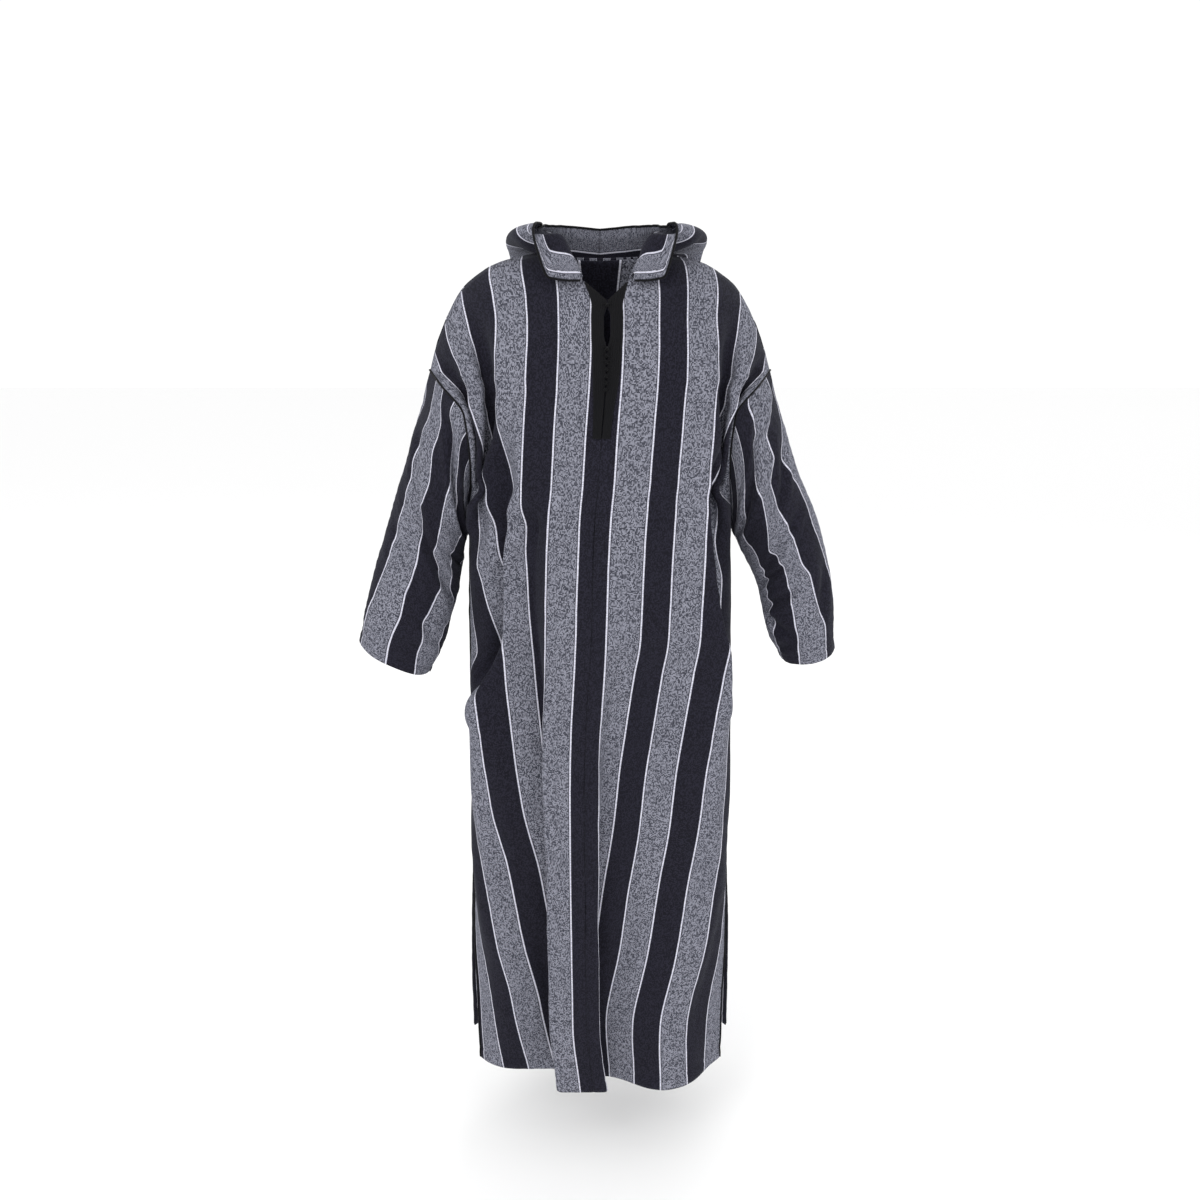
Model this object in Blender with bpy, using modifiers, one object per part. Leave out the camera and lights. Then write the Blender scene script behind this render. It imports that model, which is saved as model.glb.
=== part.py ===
"""A hooded djellaba robe, hollow as it is worn, built from the pieces that a tailor cuts and sews.

Metres, +Z up. The wearer would face -Y, with the right arm towards -X. The origin is where the
shoulders carry the robe: z = 0 lies on the shoulder ridge at the base of the neck.
"""

import math
from collections import namedtuple

import bpy
import numpy as np

# Driving dimensions
WALL = 0.0016
SEAM_GAP = 0.0014
NECK_HALF = 0.085
ARMHOLE_TOP = -0.158
UNDERARM = -0.385
SLIT_TOP = -0.860
HEM = -1.325
HALF_AT_ARMHOLE = 0.325
HALF_AT_HEM = 0.350
NECK_TOP = -0.050
NECK_SLIT_END = -0.236
KEYHOLE_TOP = -0.058
KEYHOLE_END = -0.115
KEYHOLE_HALF = 0.0040
SLIT_REACH = 0.030
PIPING_RADIUS = 0.0014
PIPING_INSET = 0.0022
HOOD_PIPING_RADIUS = 0.0018
BRAID_THICK = 0.0014
BRAID_INSET = 0.0008
BUTTON_RADIUS = 0.0026
BUTTON_PITCH = 0.0092
TOP_KNOT = -0.056
FIRST_BUTTON = -0.113
BUTTONS_IN_ROW = 7
CLEAR = 0.0004
INNER_CLEAR = 0.004
LEAST_COLUMN = 0.0015
LEAST_STEP = 0.004
NORMAL_STEP = 0.002
PLEAT_RAMP = 0.22
KEYHOLE_FOOT_OVER = 0.02
KEYHOLE_HEAD_OVER = 0.012
HOOD_RISE_OVER = 0.3
PIPING_BELOW = 0.045
SLIT_PIPING_BELOW = 0.004
PIPING_SHORT = 0.002
FITTING_STEPS = 12
ROWS_AT_ARMHOLE = 10
ROWS_BELOW = 10

# Below a height, coming in over some way down, each section rolls round the side where it must to
# meet its edge. What it misses the edge by is spread along it, in x and in y, by powers of the way
# there.
Fit = namedtuple("Fit", "below over power_x power_y")
FRONT_FIT = Fit(-0.36, 0.06, 2.5, 2.5)
BACK_FIT = Fit(-0.46, 0.36, 1.0, 2.0)

# The ridge over the shoulder, from the neck to the top of the armhole: cloth distance from the
# centre of the panel, then its place.
Ridge = namedtuple("Ridge", "cloth x z")
RIDGE = [
    Ridge(0.085, 0.085, 0.010),
    Ridge(0.145, 0.146, -0.005),
    Ridge(0.195, 0.193, -0.034),
    Ridge(0.235, 0.219, -0.072),
    Ridge(0.270, 0.235, -0.106),
    Ridge(0.325, 0.252, -0.158),
]
RIDGE_Y = 0.005

# Neck edge of each panel, from the centre out to the ridge.
Neck = namedtuple("Neck", "cloth z")
FRONT_NECK = [Neck(0.0, -0.050), Neck(0.030, -0.026), Neck(0.060, -0.008), Neck(0.085, 0.010)]
BACK_NECK = [Neck(0.0, -0.006), Neck(0.040, -0.004), Neck(0.070, 0.002), Neck(0.085, 0.010)]

# Level sections of a half panel: where its centre line lies, how far the centre line has swung
# towards +X, and how the section turns towards the side.
Level = namedtuple("Level", "height centre swing turn_at turn_over turn")
FRONT_LEVELS = [
    Level(0.010, -0.050, 0.004, 0.080, 0.08, 40),
    Level(-0.050, -0.088, 0.010, 0.180, 0.14, 40),
    Level(-0.100, -0.107, 0.010, 0.220, 0.14, 50),
    Level(-0.158, -0.120, 0.008, 0.270, 0.13, 60),
    Level(-0.210, -0.127, 0.004, 0.300, 0.10, 10),
    Level(-0.300, -0.130, -0.002, 0.310, 0.06, 30),
    Level(-0.345, -0.131, -0.006, 0.270, 0.09, 85),
    Level(-0.400, -0.131, -0.009, 0.260, 0.10, 86),
    Level(-0.550, -0.132, -0.014, 0.268, 0.10, 88),
    Level(-0.700, -0.134, -0.022, 0.238, 0.09, 90),
    Level(-0.800, -0.137, -0.024, 0.240, 0.09, 90),
    Level(-0.950, -0.140, -0.024, 0.258, 0.09, 88),
    Level(-1.200, -0.150, -0.022, 0.310, 0.10, 60),
    Level(-1.325, -0.156, -0.010, 0.320, 0.09, 50),
]
BACK_LEVELS = [
    Level(0.010, 0.080, 0.0, 0.045, 0.08, 80),
    Level(-0.050, 0.096, 0.0, 0.140, 0.14, 80),
    Level(-0.100, 0.106, 0.0, 0.200, 0.14, 85),
    Level(-0.158, 0.113, 0.0, 0.260, 0.13, 90),
    Level(-0.210, 0.118, 0.0, 0.300, 0.10, 30),
    Level(-0.300, 0.118, 0.0, 0.300, 0.10, 30),
    Level(-0.385, 0.112, 0.0, 0.270, 0.10, 85),
    Level(-0.550, 0.106, 0.0, 0.270, 0.10, 88),
    Level(-0.750, 0.118, 0.0, 0.275, 0.09, 90),
    Level(-0.950, 0.122, 0.0, 0.285, 0.10, 80),
    Level(-1.325, 0.130, 0.0, 0.300, 0.10, 60),
]

# Side edge of each panel below the armhole's top: the armhole, the side seam, then the open slit.
Edge = namedtuple("Edge", "height x y")
FRONT_EDGE = [
    Edge(-0.158, 0.252, 0.005),
    Edge(-0.175, 0.226, -0.058),
    Edge(-0.210, 0.194, -0.086),
    Edge(-0.270, 0.190, -0.070),
    Edge(-0.330, 0.193, -0.040),
    Edge(-0.385, 0.198, -0.010),
    Edge(-0.600, 0.204, -0.006),
    Edge(-0.860, 0.207, -0.006),
    Edge(-1.100, 0.211, -0.030),
    Edge(-1.325, 0.207, -0.060),
]
BACK_EDGE = [
    Edge(-0.158, 0.252, 0.005),
    Edge(-0.185, 0.240, 0.058),
    Edge(-0.230, 0.216, 0.080),
    Edge(-0.290, 0.204, 0.060),
    Edge(-0.340, 0.198, 0.025),
    Edge(-0.385, 0.198, -0.010),
    Edge(-0.600, 0.204, -0.006),
    Edge(-0.860, 0.207, -0.006),
    Edge(-1.100, 0.220, 0.012),
    Edge(-1.325, 0.226, 0.030),
]

# Folds that run down a half panel. A pleat turns the cloth under and back again; a valley goes in
# and comes out. A row gives the height, the fold's middle and width in cloth, and its steepest turn.
Fold = namedtuple("Fold", "height middle width turn")
PLEAT, VALLEY = "pleat", "valley"
FOLD_COLUMNS = {
    PLEAT: (-0.5, -0.36, -0.18, 0.0, 0.18, 0.36, 0.5),
    VALLEY: (-0.5, -0.25, 0.0, 0.25, 0.5),
}
FRONT_FOLDS = {
    -1: [
        (PLEAT, [  # left edge of the panel that stands proud down the middle
            Fold(-0.32, 0.080, 0.030, 0),
            Fold(-0.37, 0.080, 0.032, 55),
            Fold(-0.47, 0.085, 0.045, 60),
            Fold(-0.59, 0.084, 0.045, 82),
            Fold(-0.73, 0.082, 0.044, 116),
            Fold(-0.82, 0.082, 0.047, 134),
            Fold(-0.94, 0.086, 0.062, 145),
            Fold(-1.08, 0.092, 0.078, 145),
            Fold(-1.19, 0.098, 0.094, 145),
            Fold(-1.33, 0.104, 0.104, 145),
        ]),
        (PLEAT, [  # slack that slants from under the arm to the hip
            Fold(-0.19, 0.142, 0.050, 0),
            Fold(-0.24, 0.140, 0.050, 48),
            Fold(-0.30, 0.138, 0.052, 76),
            Fold(-0.355, 0.156, 0.046, 92),
            Fold(-0.415, 0.164, 0.045, 128),
            Fold(-0.475, 0.170, 0.052, 145),
            Fold(-0.54, 0.180, 0.062, 145),
            Fold(-0.585, 0.200, 0.068, 140),
            Fold(-0.62, 0.222, 0.062, 112),
            Fold(-0.66, 0.240, 0.060, 50),
            Fold(-0.70, 0.250, 0.060, 0),
        ]),
        (VALLEY, [  # crease between chest and arm
            Fold(-0.06, 0.190, 0.070, 0),
            Fold(-0.10, 0.192, 0.080, 50),
            Fold(-0.125, 0.192, 0.090, 76),
            Fold(-0.16, 0.190, 0.090, 88),
            Fold(-0.20, 0.196, 0.100, 92),
            Fold(-0.24, 0.210, 0.096, 98),
            Fold(-0.30, 0.236, 0.070, 110),
            Fold(-0.355, 0.240, 0.070, 84),
            Fold(-0.40, 0.250, 0.080, 30),
            Fold(-0.44, 0.260, 0.080, 0),
        ]),
        (VALLEY, [  # cloth tucked in beside the armhole
            Fold(-0.13, 0.272, 0.070, 0),
            Fold(-0.16, 0.276, 0.072, 50),
            Fold(-0.20, 0.288, 0.074, 108),
            Fold(-0.24, 0.290, 0.070, 108),
            Fold(-0.30, 0.298, 0.054, 112),
            Fold(-0.33, 0.300, 0.050, 60),
            Fold(-0.35, 0.300, 0.050, 0),
        ]),
    ],
    1: [
        (PLEAT, [  # right edge of the panel that stands proud down the middle
            Fold(-0.53, 0.034, 0.030, 0),
            Fold(-0.60, 0.034, 0.030, 42),
            Fold(-0.69, 0.034, 0.035, 60),
            Fold(-0.76, 0.035, 0.036, 76),
            Fold(-0.85, 0.036, 0.037, 92),
            Fold(-0.98, 0.038, 0.042, 120),
            Fold(-1.08, 0.040, 0.048, 132),
            Fold(-1.20, 0.045, 0.060, 145),
            Fold(-1.33, 0.049, 0.067, 141),
        ]),
        (PLEAT, [  # slack that slants from under the arm to the hip
            Fold(-0.20, 0.178, 0.034, 0),
            Fold(-0.26, 0.178, 0.036, 60),
            Fold(-0.32, 0.182, 0.040, 112),
            Fold(-0.40, 0.192, 0.044, 140),
            Fold(-0.50, 0.212, 0.046, 138),
            Fold(-0.58, 0.236, 0.046, 110),
            Fold(-0.64, 0.246, 0.046, 60),
            Fold(-0.69, 0.256, 0.046, 0),
        ]),
        (VALLEY, [  # crease between chest and arm, and below it the swell of the left leg
            Fold(-0.06, 0.196, 0.070, 0),
            Fold(-0.10, 0.198, 0.080, 46),
            Fold(-0.125, 0.198, 0.090, 70),
            Fold(-0.16, 0.200, 0.090, 84),
            Fold(-0.20, 0.208, 0.096, 90),
            Fold(-0.24, 0.222, 0.090, 100),
            Fold(-0.30, 0.240, 0.066, 110),
            Fold(-0.355, 0.242, 0.066, 84),
            Fold(-0.42, 0.255, 0.080, 30),
            Fold(-0.46, 0.262, 0.080, 0),
            Fold(-0.85, 0.220, 0.160, 0),
            Fold(-1.10, 0.210, 0.200, -18),
            Fold(-1.33, 0.215, 0.220, -34),
        ]),
        (VALLEY, [  # cloth tucked in beside the armhole
            Fold(-0.13, 0.278, 0.066, 0),
            Fold(-0.16, 0.282, 0.068, 50),
            Fold(-0.20, 0.290, 0.070, 112),
            Fold(-0.24, 0.294, 0.064, 112),
            Fold(-0.30, 0.300, 0.052, 112),
            Fold(-0.33, 0.300, 0.050, 60),
            Fold(-0.35, 0.300, 0.050, 0),
        ]),
    ],
}
BACK_FOLDS = {
    -1: [
        (VALLEY, [  # long soft fold from the shoulder blade to the hem
            Fold(-0.25, 0.100, 0.070, 0),
            Fold(-0.60, 0.095, 0.080, 34),
            Fold(-1.00, 0.098, 0.090, 42),
            Fold(-1.33, 0.105, 0.100, 46),
        ]),
        (VALLEY, [  # crease between back and arm
            Fold(-0.11, 0.215, 0.080, 0),
            Fold(-0.17, 0.225, 0.100, 45),
            Fold(-0.24, 0.245, 0.130, 72),
            Fold(-0.32, 0.245, 0.130, 70),
            Fold(-0.42, 0.230, 0.110, 40),
            Fold(-0.70, 0.215, 0.090, 30),
            Fold(-1.33, 0.220, 0.090, 36),
        ]),
    ],
    1: [
        (VALLEY, [  # long soft fold from the shoulder blade to the hem
            Fold(-0.20, 0.085, 0.070, 0),
            Fold(-0.55, 0.085, 0.075, 30),
            Fold(-1.00, 0.082, 0.090, 44),
            Fold(-1.33, 0.080, 0.100, 42),
        ]),
        (VALLEY, [  # crease between back and arm
            Fold(-0.11, 0.215, 0.080, 0),
            Fold(-0.17, 0.225, 0.100, 45),
            Fold(-0.24, 0.245, 0.130, 72),
            Fold(-0.32, 0.250, 0.125, 70),
            Fold(-0.42, 0.235, 0.110, 44),
            Fold(-0.80, 0.210, 0.095, 30),
            Fold(-1.33, 0.205, 0.095, 38),
        ]),
    ],
}

# Rings down each sleeve: the middle of the ring, its half width across the arm, its half depth,
# and how far the inner side hangs below the outer one, in degrees.
Ring = namedtuple("Ring", "along x y z half_width half_depth tilt")
Track = namedtuple("Track", "along x y z")
SLEEVE_RINGS = {
    -1: [
        Ring(0.28, 0.250, 0.000, -0.352, 0.078, 0.072, 58),
        Ring(0.60, 0.277, -0.012, -0.452, 0.070, 0.064, 40),
        Ring(0.84, 0.305, -0.026, -0.545, 0.066, 0.058, 28),
        Ring(1.00, 0.323, -0.034, -0.594, 0.059, 0.050, 27),
    ],
    1: [
        Ring(0.28, 0.252, 0.000, -0.352, 0.076, 0.072, 58),
        Ring(0.60, 0.291, -0.016, -0.440, 0.060, 0.064, 36),
        Ring(0.84, 0.312, -0.036, -0.535, 0.052, 0.060, 22),
        Ring(1.00, 0.323, -0.044, -0.583, 0.041, 0.060, 12),
    ],
}

# Sections of a half hood, thrown back, from its front end to the middle of the back: two control
# points of the loop that the cloth makes beyond the neck seam, and the face edge.
Loop = namedtuple("Loop", "share low_x low_y low_z high_x high_y high_z rim_x rim_y rim_z")
HOOD_LOOPS = [
    Loop(0.00, 0.031, -0.082, -0.020, 0.032, -0.084, -0.020, 0.032, -0.085, -0.022),
    Loop(0.10, 0.040, -0.064, 0.008, 0.050, -0.086, 0.020, 0.050, -0.086, -0.022),
    Loop(0.22, 0.052, -0.042, 0.050, 0.074, -0.076, 0.058, 0.076, -0.084, -0.018),
    Loop(0.29, 0.076, -0.046, 0.036, 0.090, -0.072, 0.054, 0.088, -0.086, 0.016),
    Loop(0.34, 0.090, -0.044, 0.022, 0.106, -0.062, 0.042, 0.094, -0.076, 0.043),
    Loop(0.39, 0.118, -0.036, 0.014, 0.124, -0.050, 0.044, 0.090, -0.064, 0.052),
    Loop(0.45, 0.138, -0.012, 0.016, 0.142, -0.020, 0.052, 0.084, -0.030, 0.050),
    Loop(0.66, 0.160, 0.140, -0.010, 0.160, 0.140, 0.020, 0.092, 0.058, 0.044),
    Loop(0.84, 0.110, 0.220, -0.220, 0.122, 0.215, -0.250, 0.060, 0.114, 0.042),
    Loop(1.00, 0.001, 0.215, -0.340, 0.001, 0.210, -0.400, 0.001, 0.134, 0.036),
]
HOOD_FRONT = 0.029
HOOD_AT_RIDGE = 0.45
HOOD_LIFT = 0.0058
HOOD_SWAY = 0.4
HOOD_SHARES = np.concatenate([np.linspace(0.03, 0.5, 14), np.linspace(0.5, 1.0, 6)[1:]])
HOOD_REACH = {-1: 1.00, 1: 1.16}

# How wide the braid is on each side of the neck slit, as a share of the way down
Band = namedtuple("Band", "down width")
BRAID = [
    Band(0.00, 0.0300),
    Band(0.05, 0.0250),
    Band(0.11, 0.0212),
    Band(0.30, 0.0205),
    Band(0.60, 0.0175),
    Band(0.80, 0.0135),
    Band(1.00, 0.0115),
]


def smooth(value):
    """Eases 0..1 in and out."""
    value = np.clip(value, 0.0, 1.0)
    return value * value * (3.0 - 2.0 * value)


def read(rows, at):
    """The row of a table at a value of its first column, on a smooth curve through the rows."""
    table = np.array(rows, float)
    if table[0, 0] > table[-1, 0]:
        table = table[::-1]
    place = float(np.clip(at, table[0, 0], table[-1, 0]))
    high = int(np.clip(np.searchsorted(table[:, 0], place), 1, len(table) - 1))
    low = high - 1
    span = table[high, 0] - table[low, 0]
    slopes = np.diff(table[:, 1:], axis=0) / np.diff(table[:, 0])[:, None]

    def tangent(index):
        if index in (0, len(table) - 1):
            return slopes[min(index, len(slopes) - 1)]
        before, after = slopes[index - 1], slopes[index]
        same_way = before * after > 0
        return np.where(same_way, 2 * before * after / np.where(same_way, before + after, 1.0), 0.0)

    part = (place - table[low, 0]) / span
    values = (
        (1 + 2 * part) * (1 - part) ** 2 * table[low, 1:]
        + part * (1 - part) ** 2 * span * tangent(low)
        + part * part * (3 - 2 * part) * table[high, 1:]
        + part * part * (part - 1) * span * tangent(high)
    )
    return type(rows[0])(place, *values)


def half_width(height):
    """Cloth from the centre of a panel to its side edge."""
    share = np.clip((ARMHOLE_TOP - height) / (ARMHOLE_TOP - HEM), 0.0, 1.0)
    return HALF_AT_ARMHOLE + (HALF_AT_HEM - HALF_AT_ARMHOLE) * share


def panel_end(height, edge_rows):
    """Where a level section of a half panel ends: cloth distance, x and y."""
    if height < ARMHOLE_TOP:
        edge = read(edge_rows, height)
        return half_width(height), edge.x, edge.y
    heights = [row.z for row in RIDGE][::-1]
    cloth = np.interp(height, heights, [row.cloth for row in RIDGE][::-1])
    return cloth, read(RIDGE, cloth).x, RIDGE_Y


def fold_turn(kind, fold, cloth):
    """The turn, in radians, that one fold adds to the section's heading."""
    place = (cloth - fold.middle) / fold.width
    if kind == PLEAT:
        shape = smooth((0.5 - np.abs(place)) / PLEAT_RAMP)
    else:
        shape = np.where(np.abs(place) < 0.5, np.sin(2 * math.pi * (place + 0.5)), 0.0)
    return math.radians(fold.turn) * shape


def section(height, side, levels, edges, folds, fit):
    """A level section of a half panel: arrays of cloth distance, x and y, from the centre out."""
    level = read(levels, height)
    end, end_x, end_y = panel_end(height, edges)
    cloth = np.linspace(0.0, end, 500)
    folded = sum(fold_turn(kind, read(rows, height), cloth) for kind, rows in folds)
    step = np.diff(cloth)

    def headings(start):
        """The way each step of the section goes when it rolls round the side from start."""
        roll = math.radians(level.turn) * smooth((cloth - start) / level.turn_over + 0.5)
        return folded[1:] / 2 + folded[:-1] / 2 + roll[1:] / 2 + roll[:-1] / 2

    low, high = end / 2, end
    for _ in range(FITTING_STEPS):
        tried = (low + high) / 2
        short = np.sum(np.cos(headings(tried)) * step) + side * level.swing < end_x
        low, high = (tried, high) if short else (low, tried)
    fitted = smooth((fit.below - height) / fit.over)
    way = headings(level.turn_at + fitted * (low - level.turn_at))
    inward = 1.0 if level.centre < 0 else -1.0
    x = np.concatenate([[0.0], np.cumsum(np.cos(way) * step)]) + side * level.swing
    y = np.concatenate([[0.0], np.cumsum(np.sin(way) * step)]) * inward + level.centre
    x = x + (end_x - x[-1]) * (cloth / end) ** fit.power_x
    y = y + (end_y - inward * SEAM_GAP / 2 - y[-1]) * (cloth / end) ** fit.power_y
    return cloth, x, y


def centre_line(height):
    """How far the middle of the front has swung towards +X."""
    return read(FRONT_LEVELS, height).swing


class HalfPanel:
    """The surface of a front or back panel on one side: side is -1 or 1, towards -X or +X."""

    def __init__(self, side, levels, edges, folds, neck, fit):
        self.side, self.neck, self.folds = side, neck, folds[side]
        self.shape = (side, levels, edges, folds[side], fit)
        self.known = {}

    def top(self, cloth):
        """Height of the panel's upper edge, at the neck or on the ridge."""
        if cloth < NECK_HALF:
            return read(self.neck, cloth).z
        return read(RIDGE, min(cloth, HALF_AT_ARMHOLE)).z

    def point(self, cloth, height):
        key = round(height, 5)
        if key not in self.known:
            self.known[key] = section(height, *self.shape)
        distance, x, y = self.known[key]
        return np.array([
            self.side * np.interp(cloth, distance, x),
            np.interp(cloth, distance, y),
            height,
        ])

    def armhole_heights(self, count):
        """Heights of places evenly spaced down the armhole edge, from the ridge to the underarm."""
        heights = np.linspace(ARMHOLE_TOP, UNDERARM, 80)
        line = np.array([self.point(half_width(height), height) for height in heights])
        reach = np.concatenate([[0.0], np.cumsum(np.linalg.norm(np.diff(line, axis=0), axis=1))])
        return np.interp(np.linspace(0.0, reach[-1], count + 1), reach, heights)

    def row_heights(self):
        """Heights that the rows have at the side edge."""
        below = np.linspace(UNDERARM, HEM, ROWS_BELOW + 1)[1:]
        return np.concatenate([self.armhole_heights(ROWS_AT_ARMHOLE), below])

    def knots(self, height):
        """Cloth distances of the columns at one height: they crowd into the folds."""
        places = []
        for kind, rows in self.folds:
            fold = read(rows, height)
            places.append([fold.middle + share * fold.width for share in FOLD_COLUMNS[kind]])
        return places

    def columns(self, height, between):
        """Column places at a height, with so many columns between one fold and the next."""
        end = half_width(height)
        stops = [[0.0]] + self.knots(height) + [[end]]
        places = [0.0]
        for before, after, extra in zip(stops, stops[1:], between):
            first = min(max(after[0], before[-1] + LEAST_STEP), end)
            start = places[-1]
            places += [start + (first - start) * (step + 1) / (extra + 1) for step in range(extra)]
            places += [max(place, first) for place in after]
        places = np.maximum.accumulate(np.minimum(places, end))
        for index in range(1, len(places)):
            places[index] = max(places[index], places[index - 1] + LEAST_COLUMN)
        if places[-1] > end:
            places *= end / places[-1]
        return places


def new_material(name, colour, roughness):
    material = bpy.data.materials.new(name)
    material.use_nodes = True
    surface = material.node_tree.nodes["Principled BSDF"]
    surface.inputs["Base Color"].default_value = (*colour, 1.0)
    surface.inputs["Roughness"].default_value = roughness
    surface.inputs["Metallic"].default_value = 0.0
    return material


def add_object(name, mesh, collection, material):
    piece = bpy.data.objects.new(name, mesh)
    piece.data.materials.append(material)
    collection.objects.link(piece)
    return piece


def add_cloth(name, grid, collection, material, closed=False):
    """A cloth wall from a grid of points, rows down and columns across, thickened both ways."""
    rows, across = len(grid), len(grid[0])
    points = [tuple(point) for row in grid for point in row]
    last = across if closed else across - 1
    faces = [
        (
            row * across + column,
            row * across + (column + 1) % across,
            (row + 1) * across + (column + 1) % across,
            (row + 1) * across + column,
        )
        for row in range(rows - 1)
        for column in range(last)
    ]
    mesh = bpy.data.meshes.new(name)
    mesh.from_pydata(points, [], faces)
    mesh.shade_smooth()
    piece = add_object(name, mesh, collection, material)
    wall = piece.modifiers.new("Wall", "SOLIDIFY")
    wall.thickness = WALL
    wall.offset = 0.0
    wall.use_even_offset = False
    return piece


def add_tube(name, points, radius, collection, material, closed=False):
    """A round cord through points."""
    curve = bpy.data.curves.new(name, "CURVE")
    curve.dimensions = "3D"
    curve.bevel_depth = radius
    curve.bevel_resolution = 1
    curve.use_fill_caps = not closed
    spline = curve.splines.new("POLY")
    spline.points.add(len(points) - 1)
    for control, point in zip(spline.points, points):
        control.co = (*point, 1.0)
    spline.use_cyclic_u = closed
    return add_object(name, curve, collection, material)


def slit_gap(height):
    """Half the opening between the front edges: the neck slit gapes below its top knot."""
    gape = smooth((height - KEYHOLE_END) / KEYHOLE_FOOT_OVER)
    gape = gape * smooth((KEYHOLE_TOP - height) / KEYHOLE_HEAD_OVER)
    return CLEAR + KEYHOLE_HALF * gape


def panel_grid(panel, between, opens):
    """Points of a half panel. Its rows run from the neck and ridge down to the hem."""
    grid = []
    for edge_height in panel.row_heights():
        share = (ARMHOLE_TOP - edge_height) / (ARMHOLE_TOP - HEM)
        line = []
        for cloth in panel.columns(edge_height, between):
            top = panel.top(cloth)
            height = top + (HEM - top) * share
            point = panel.point(cloth, height)
            if opens:
                point[0] += panel.side * slit_gap(height) * smooth(1.0 - cloth / SLIT_REACH)
            line.append(point)
        grid.append(line)
    return grid


def outward(panel, cloth, height):
    """Unit vector out of the cloth at a place on a half panel."""
    step = NORMAL_STEP
    across = panel.point(cloth + step, height) - panel.point(cloth - step, height)
    down = panel.point(cloth, height - step) - panel.point(cloth, height + step)
    normal = np.cross(across, down)
    normal = normal / np.linalg.norm(normal)
    facing = panel.point(cloth, height) - np.array([0.0, 0.0, height])
    return normal if np.dot(normal, facing) > 0 else -normal


def armhole_line(panel):
    """Points down a panel's armhole edge, from the ridge to the underarm."""
    heights = panel.armhole_heights(ROWS_AT_ARMHOLE)
    return np.array([panel.point(half_width(height), height) for height in heights])


def ring_points(ring, side, around):
    """Points of one sleeve ring: the outer side first, then front, inner side and back."""
    tilt = math.radians(ring.tilt)
    across = np.array([side * math.cos(tilt), 0.0, math.sin(tilt)]) * ring.half_width
    front = np.array([0.0, -ring.half_depth, 0.0])
    middle = np.array([side * ring.x, ring.y, ring.z])
    angles = np.linspace(0.0, 2 * math.pi, around, endpoint=False)
    return np.array([middle + across * math.cos(angle) + front * math.sin(angle) for angle in angles])


def sleeve_grid(side, front, back, rows):
    """A sleeve's rings of points, from the armhole to the cuff."""
    around = 2 * ROWS_AT_ARMHOLE
    down, up = armhole_line(front), armhole_line(back)[::-1]
    armhole = np.concatenate([down[:-1], up[:-1]])
    rings = [armhole] + [ring_points(ring, side, around) for ring in SLEEVE_RINGS[side]]
    stations = [0.0] + [ring.along for ring in SLEEVE_RINGS[side]]
    tracks = [[Track(at, *ring[index]) for at, ring in zip(stations, rings)] for index in range(around)]
    grid = np.array([
        [read(track, row / rows)[1:] for track in tracks]
        for row in range(rows + 1)
    ])
    leaving = grid[1] - grid[0]
    leaving /= np.linalg.norm(leaving, axis=1)[:, None]
    inner = np.sin(math.pi * np.arange(around) / around) ** 2
    grid[0] += leaving * (SEAM_GAP + WALL / 2)
    grid[0, :, 0] += side * INNER_CLEAR * inner
    return grid


def neck_seam(share, front, back):
    """A place on the neck edge, from the hood's front end to the middle of the back."""
    if share < HOOD_AT_RIDGE:
        panel, cloth = front, HOOD_FRONT + (NECK_HALF - HOOD_FRONT) * share / HOOD_AT_RIDGE
    else:
        panel, cloth = back, NECK_HALF * (1.0 - share) / (1.0 - HOOD_AT_RIDGE)
    place = panel.point(cloth, panel.top(cloth))
    place[0] = panel.side * max(abs(place[0]), HOOD_LOOPS[-1].rim_x)
    behind = HOOD_LIFT * smooth((share - HOOD_AT_RIDGE) / HOOD_RISE_OVER)
    return place + np.array([0.0, behind, HOOD_LIFT])


def hood_grid(side, front, back, shares, across):
    """Points of a half hood, at shares of the way from the front end to the middle of the back."""
    grid = []
    for share in shares:
        loop = read(HOOD_LOOPS, share)
        reach = 1.0 + (HOOD_REACH[side] - 1.0) * math.sin(math.pi * share)
        free = np.array(loop[1:]).reshape(3, 3) * np.array([side * reach, 1.0, 1.0])
        free[:, 0] += centre_line(NECK_TOP) * smooth(1.0 - share / HOOD_SWAY)
        corners = [neck_seam(share, front, back), *free]
        line = []
        for step in np.linspace(0.0, 1.0, across + 1):
            rest = 1.0 - step
            weights = (rest**3, 3 * rest**2 * step, 3 * rest * step**2, step**3)
            line.append(sum(weight * corner for weight, corner in zip(weights, corners)))
        grid.append(line)
    return np.array(grid)


def edge_cord(panel, heights):
    """Places of the piping down a panel's side edge."""
    places = []
    for height in heights:
        cloth = half_width(height) - PIPING_INSET
        lift = WALL / 2 + PIPING_RADIUS + 2 * CLEAR
        places.append(panel.point(cloth, height) + outward(panel, cloth, height) * lift)
    return places


def armhole_cord(grid):
    """Places of the piping on the armhole seam, from one side of the underarm round to the other."""
    ring, following = grid[0], grid[1]
    around = np.roll(ring, -1, axis=0) - np.roll(ring, 1, axis=0)
    normal = np.cross(around, following - ring)
    normal /= np.linalg.norm(normal, axis=1)[:, None]
    if np.sum(normal * (ring - ring.mean(axis=0))) < 0:
        normal = -normal
    leaving = following - ring
    leaving /= np.linalg.norm(leaving, axis=1)[:, None]
    places = ring + leaving * SEAM_GAP + normal * (WALL / 2 + PIPING_RADIUS + 2 * CLEAR)
    return np.roll(places, ROWS_AT_ARMHOLE - 1, axis=0)[2:-3]


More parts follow.
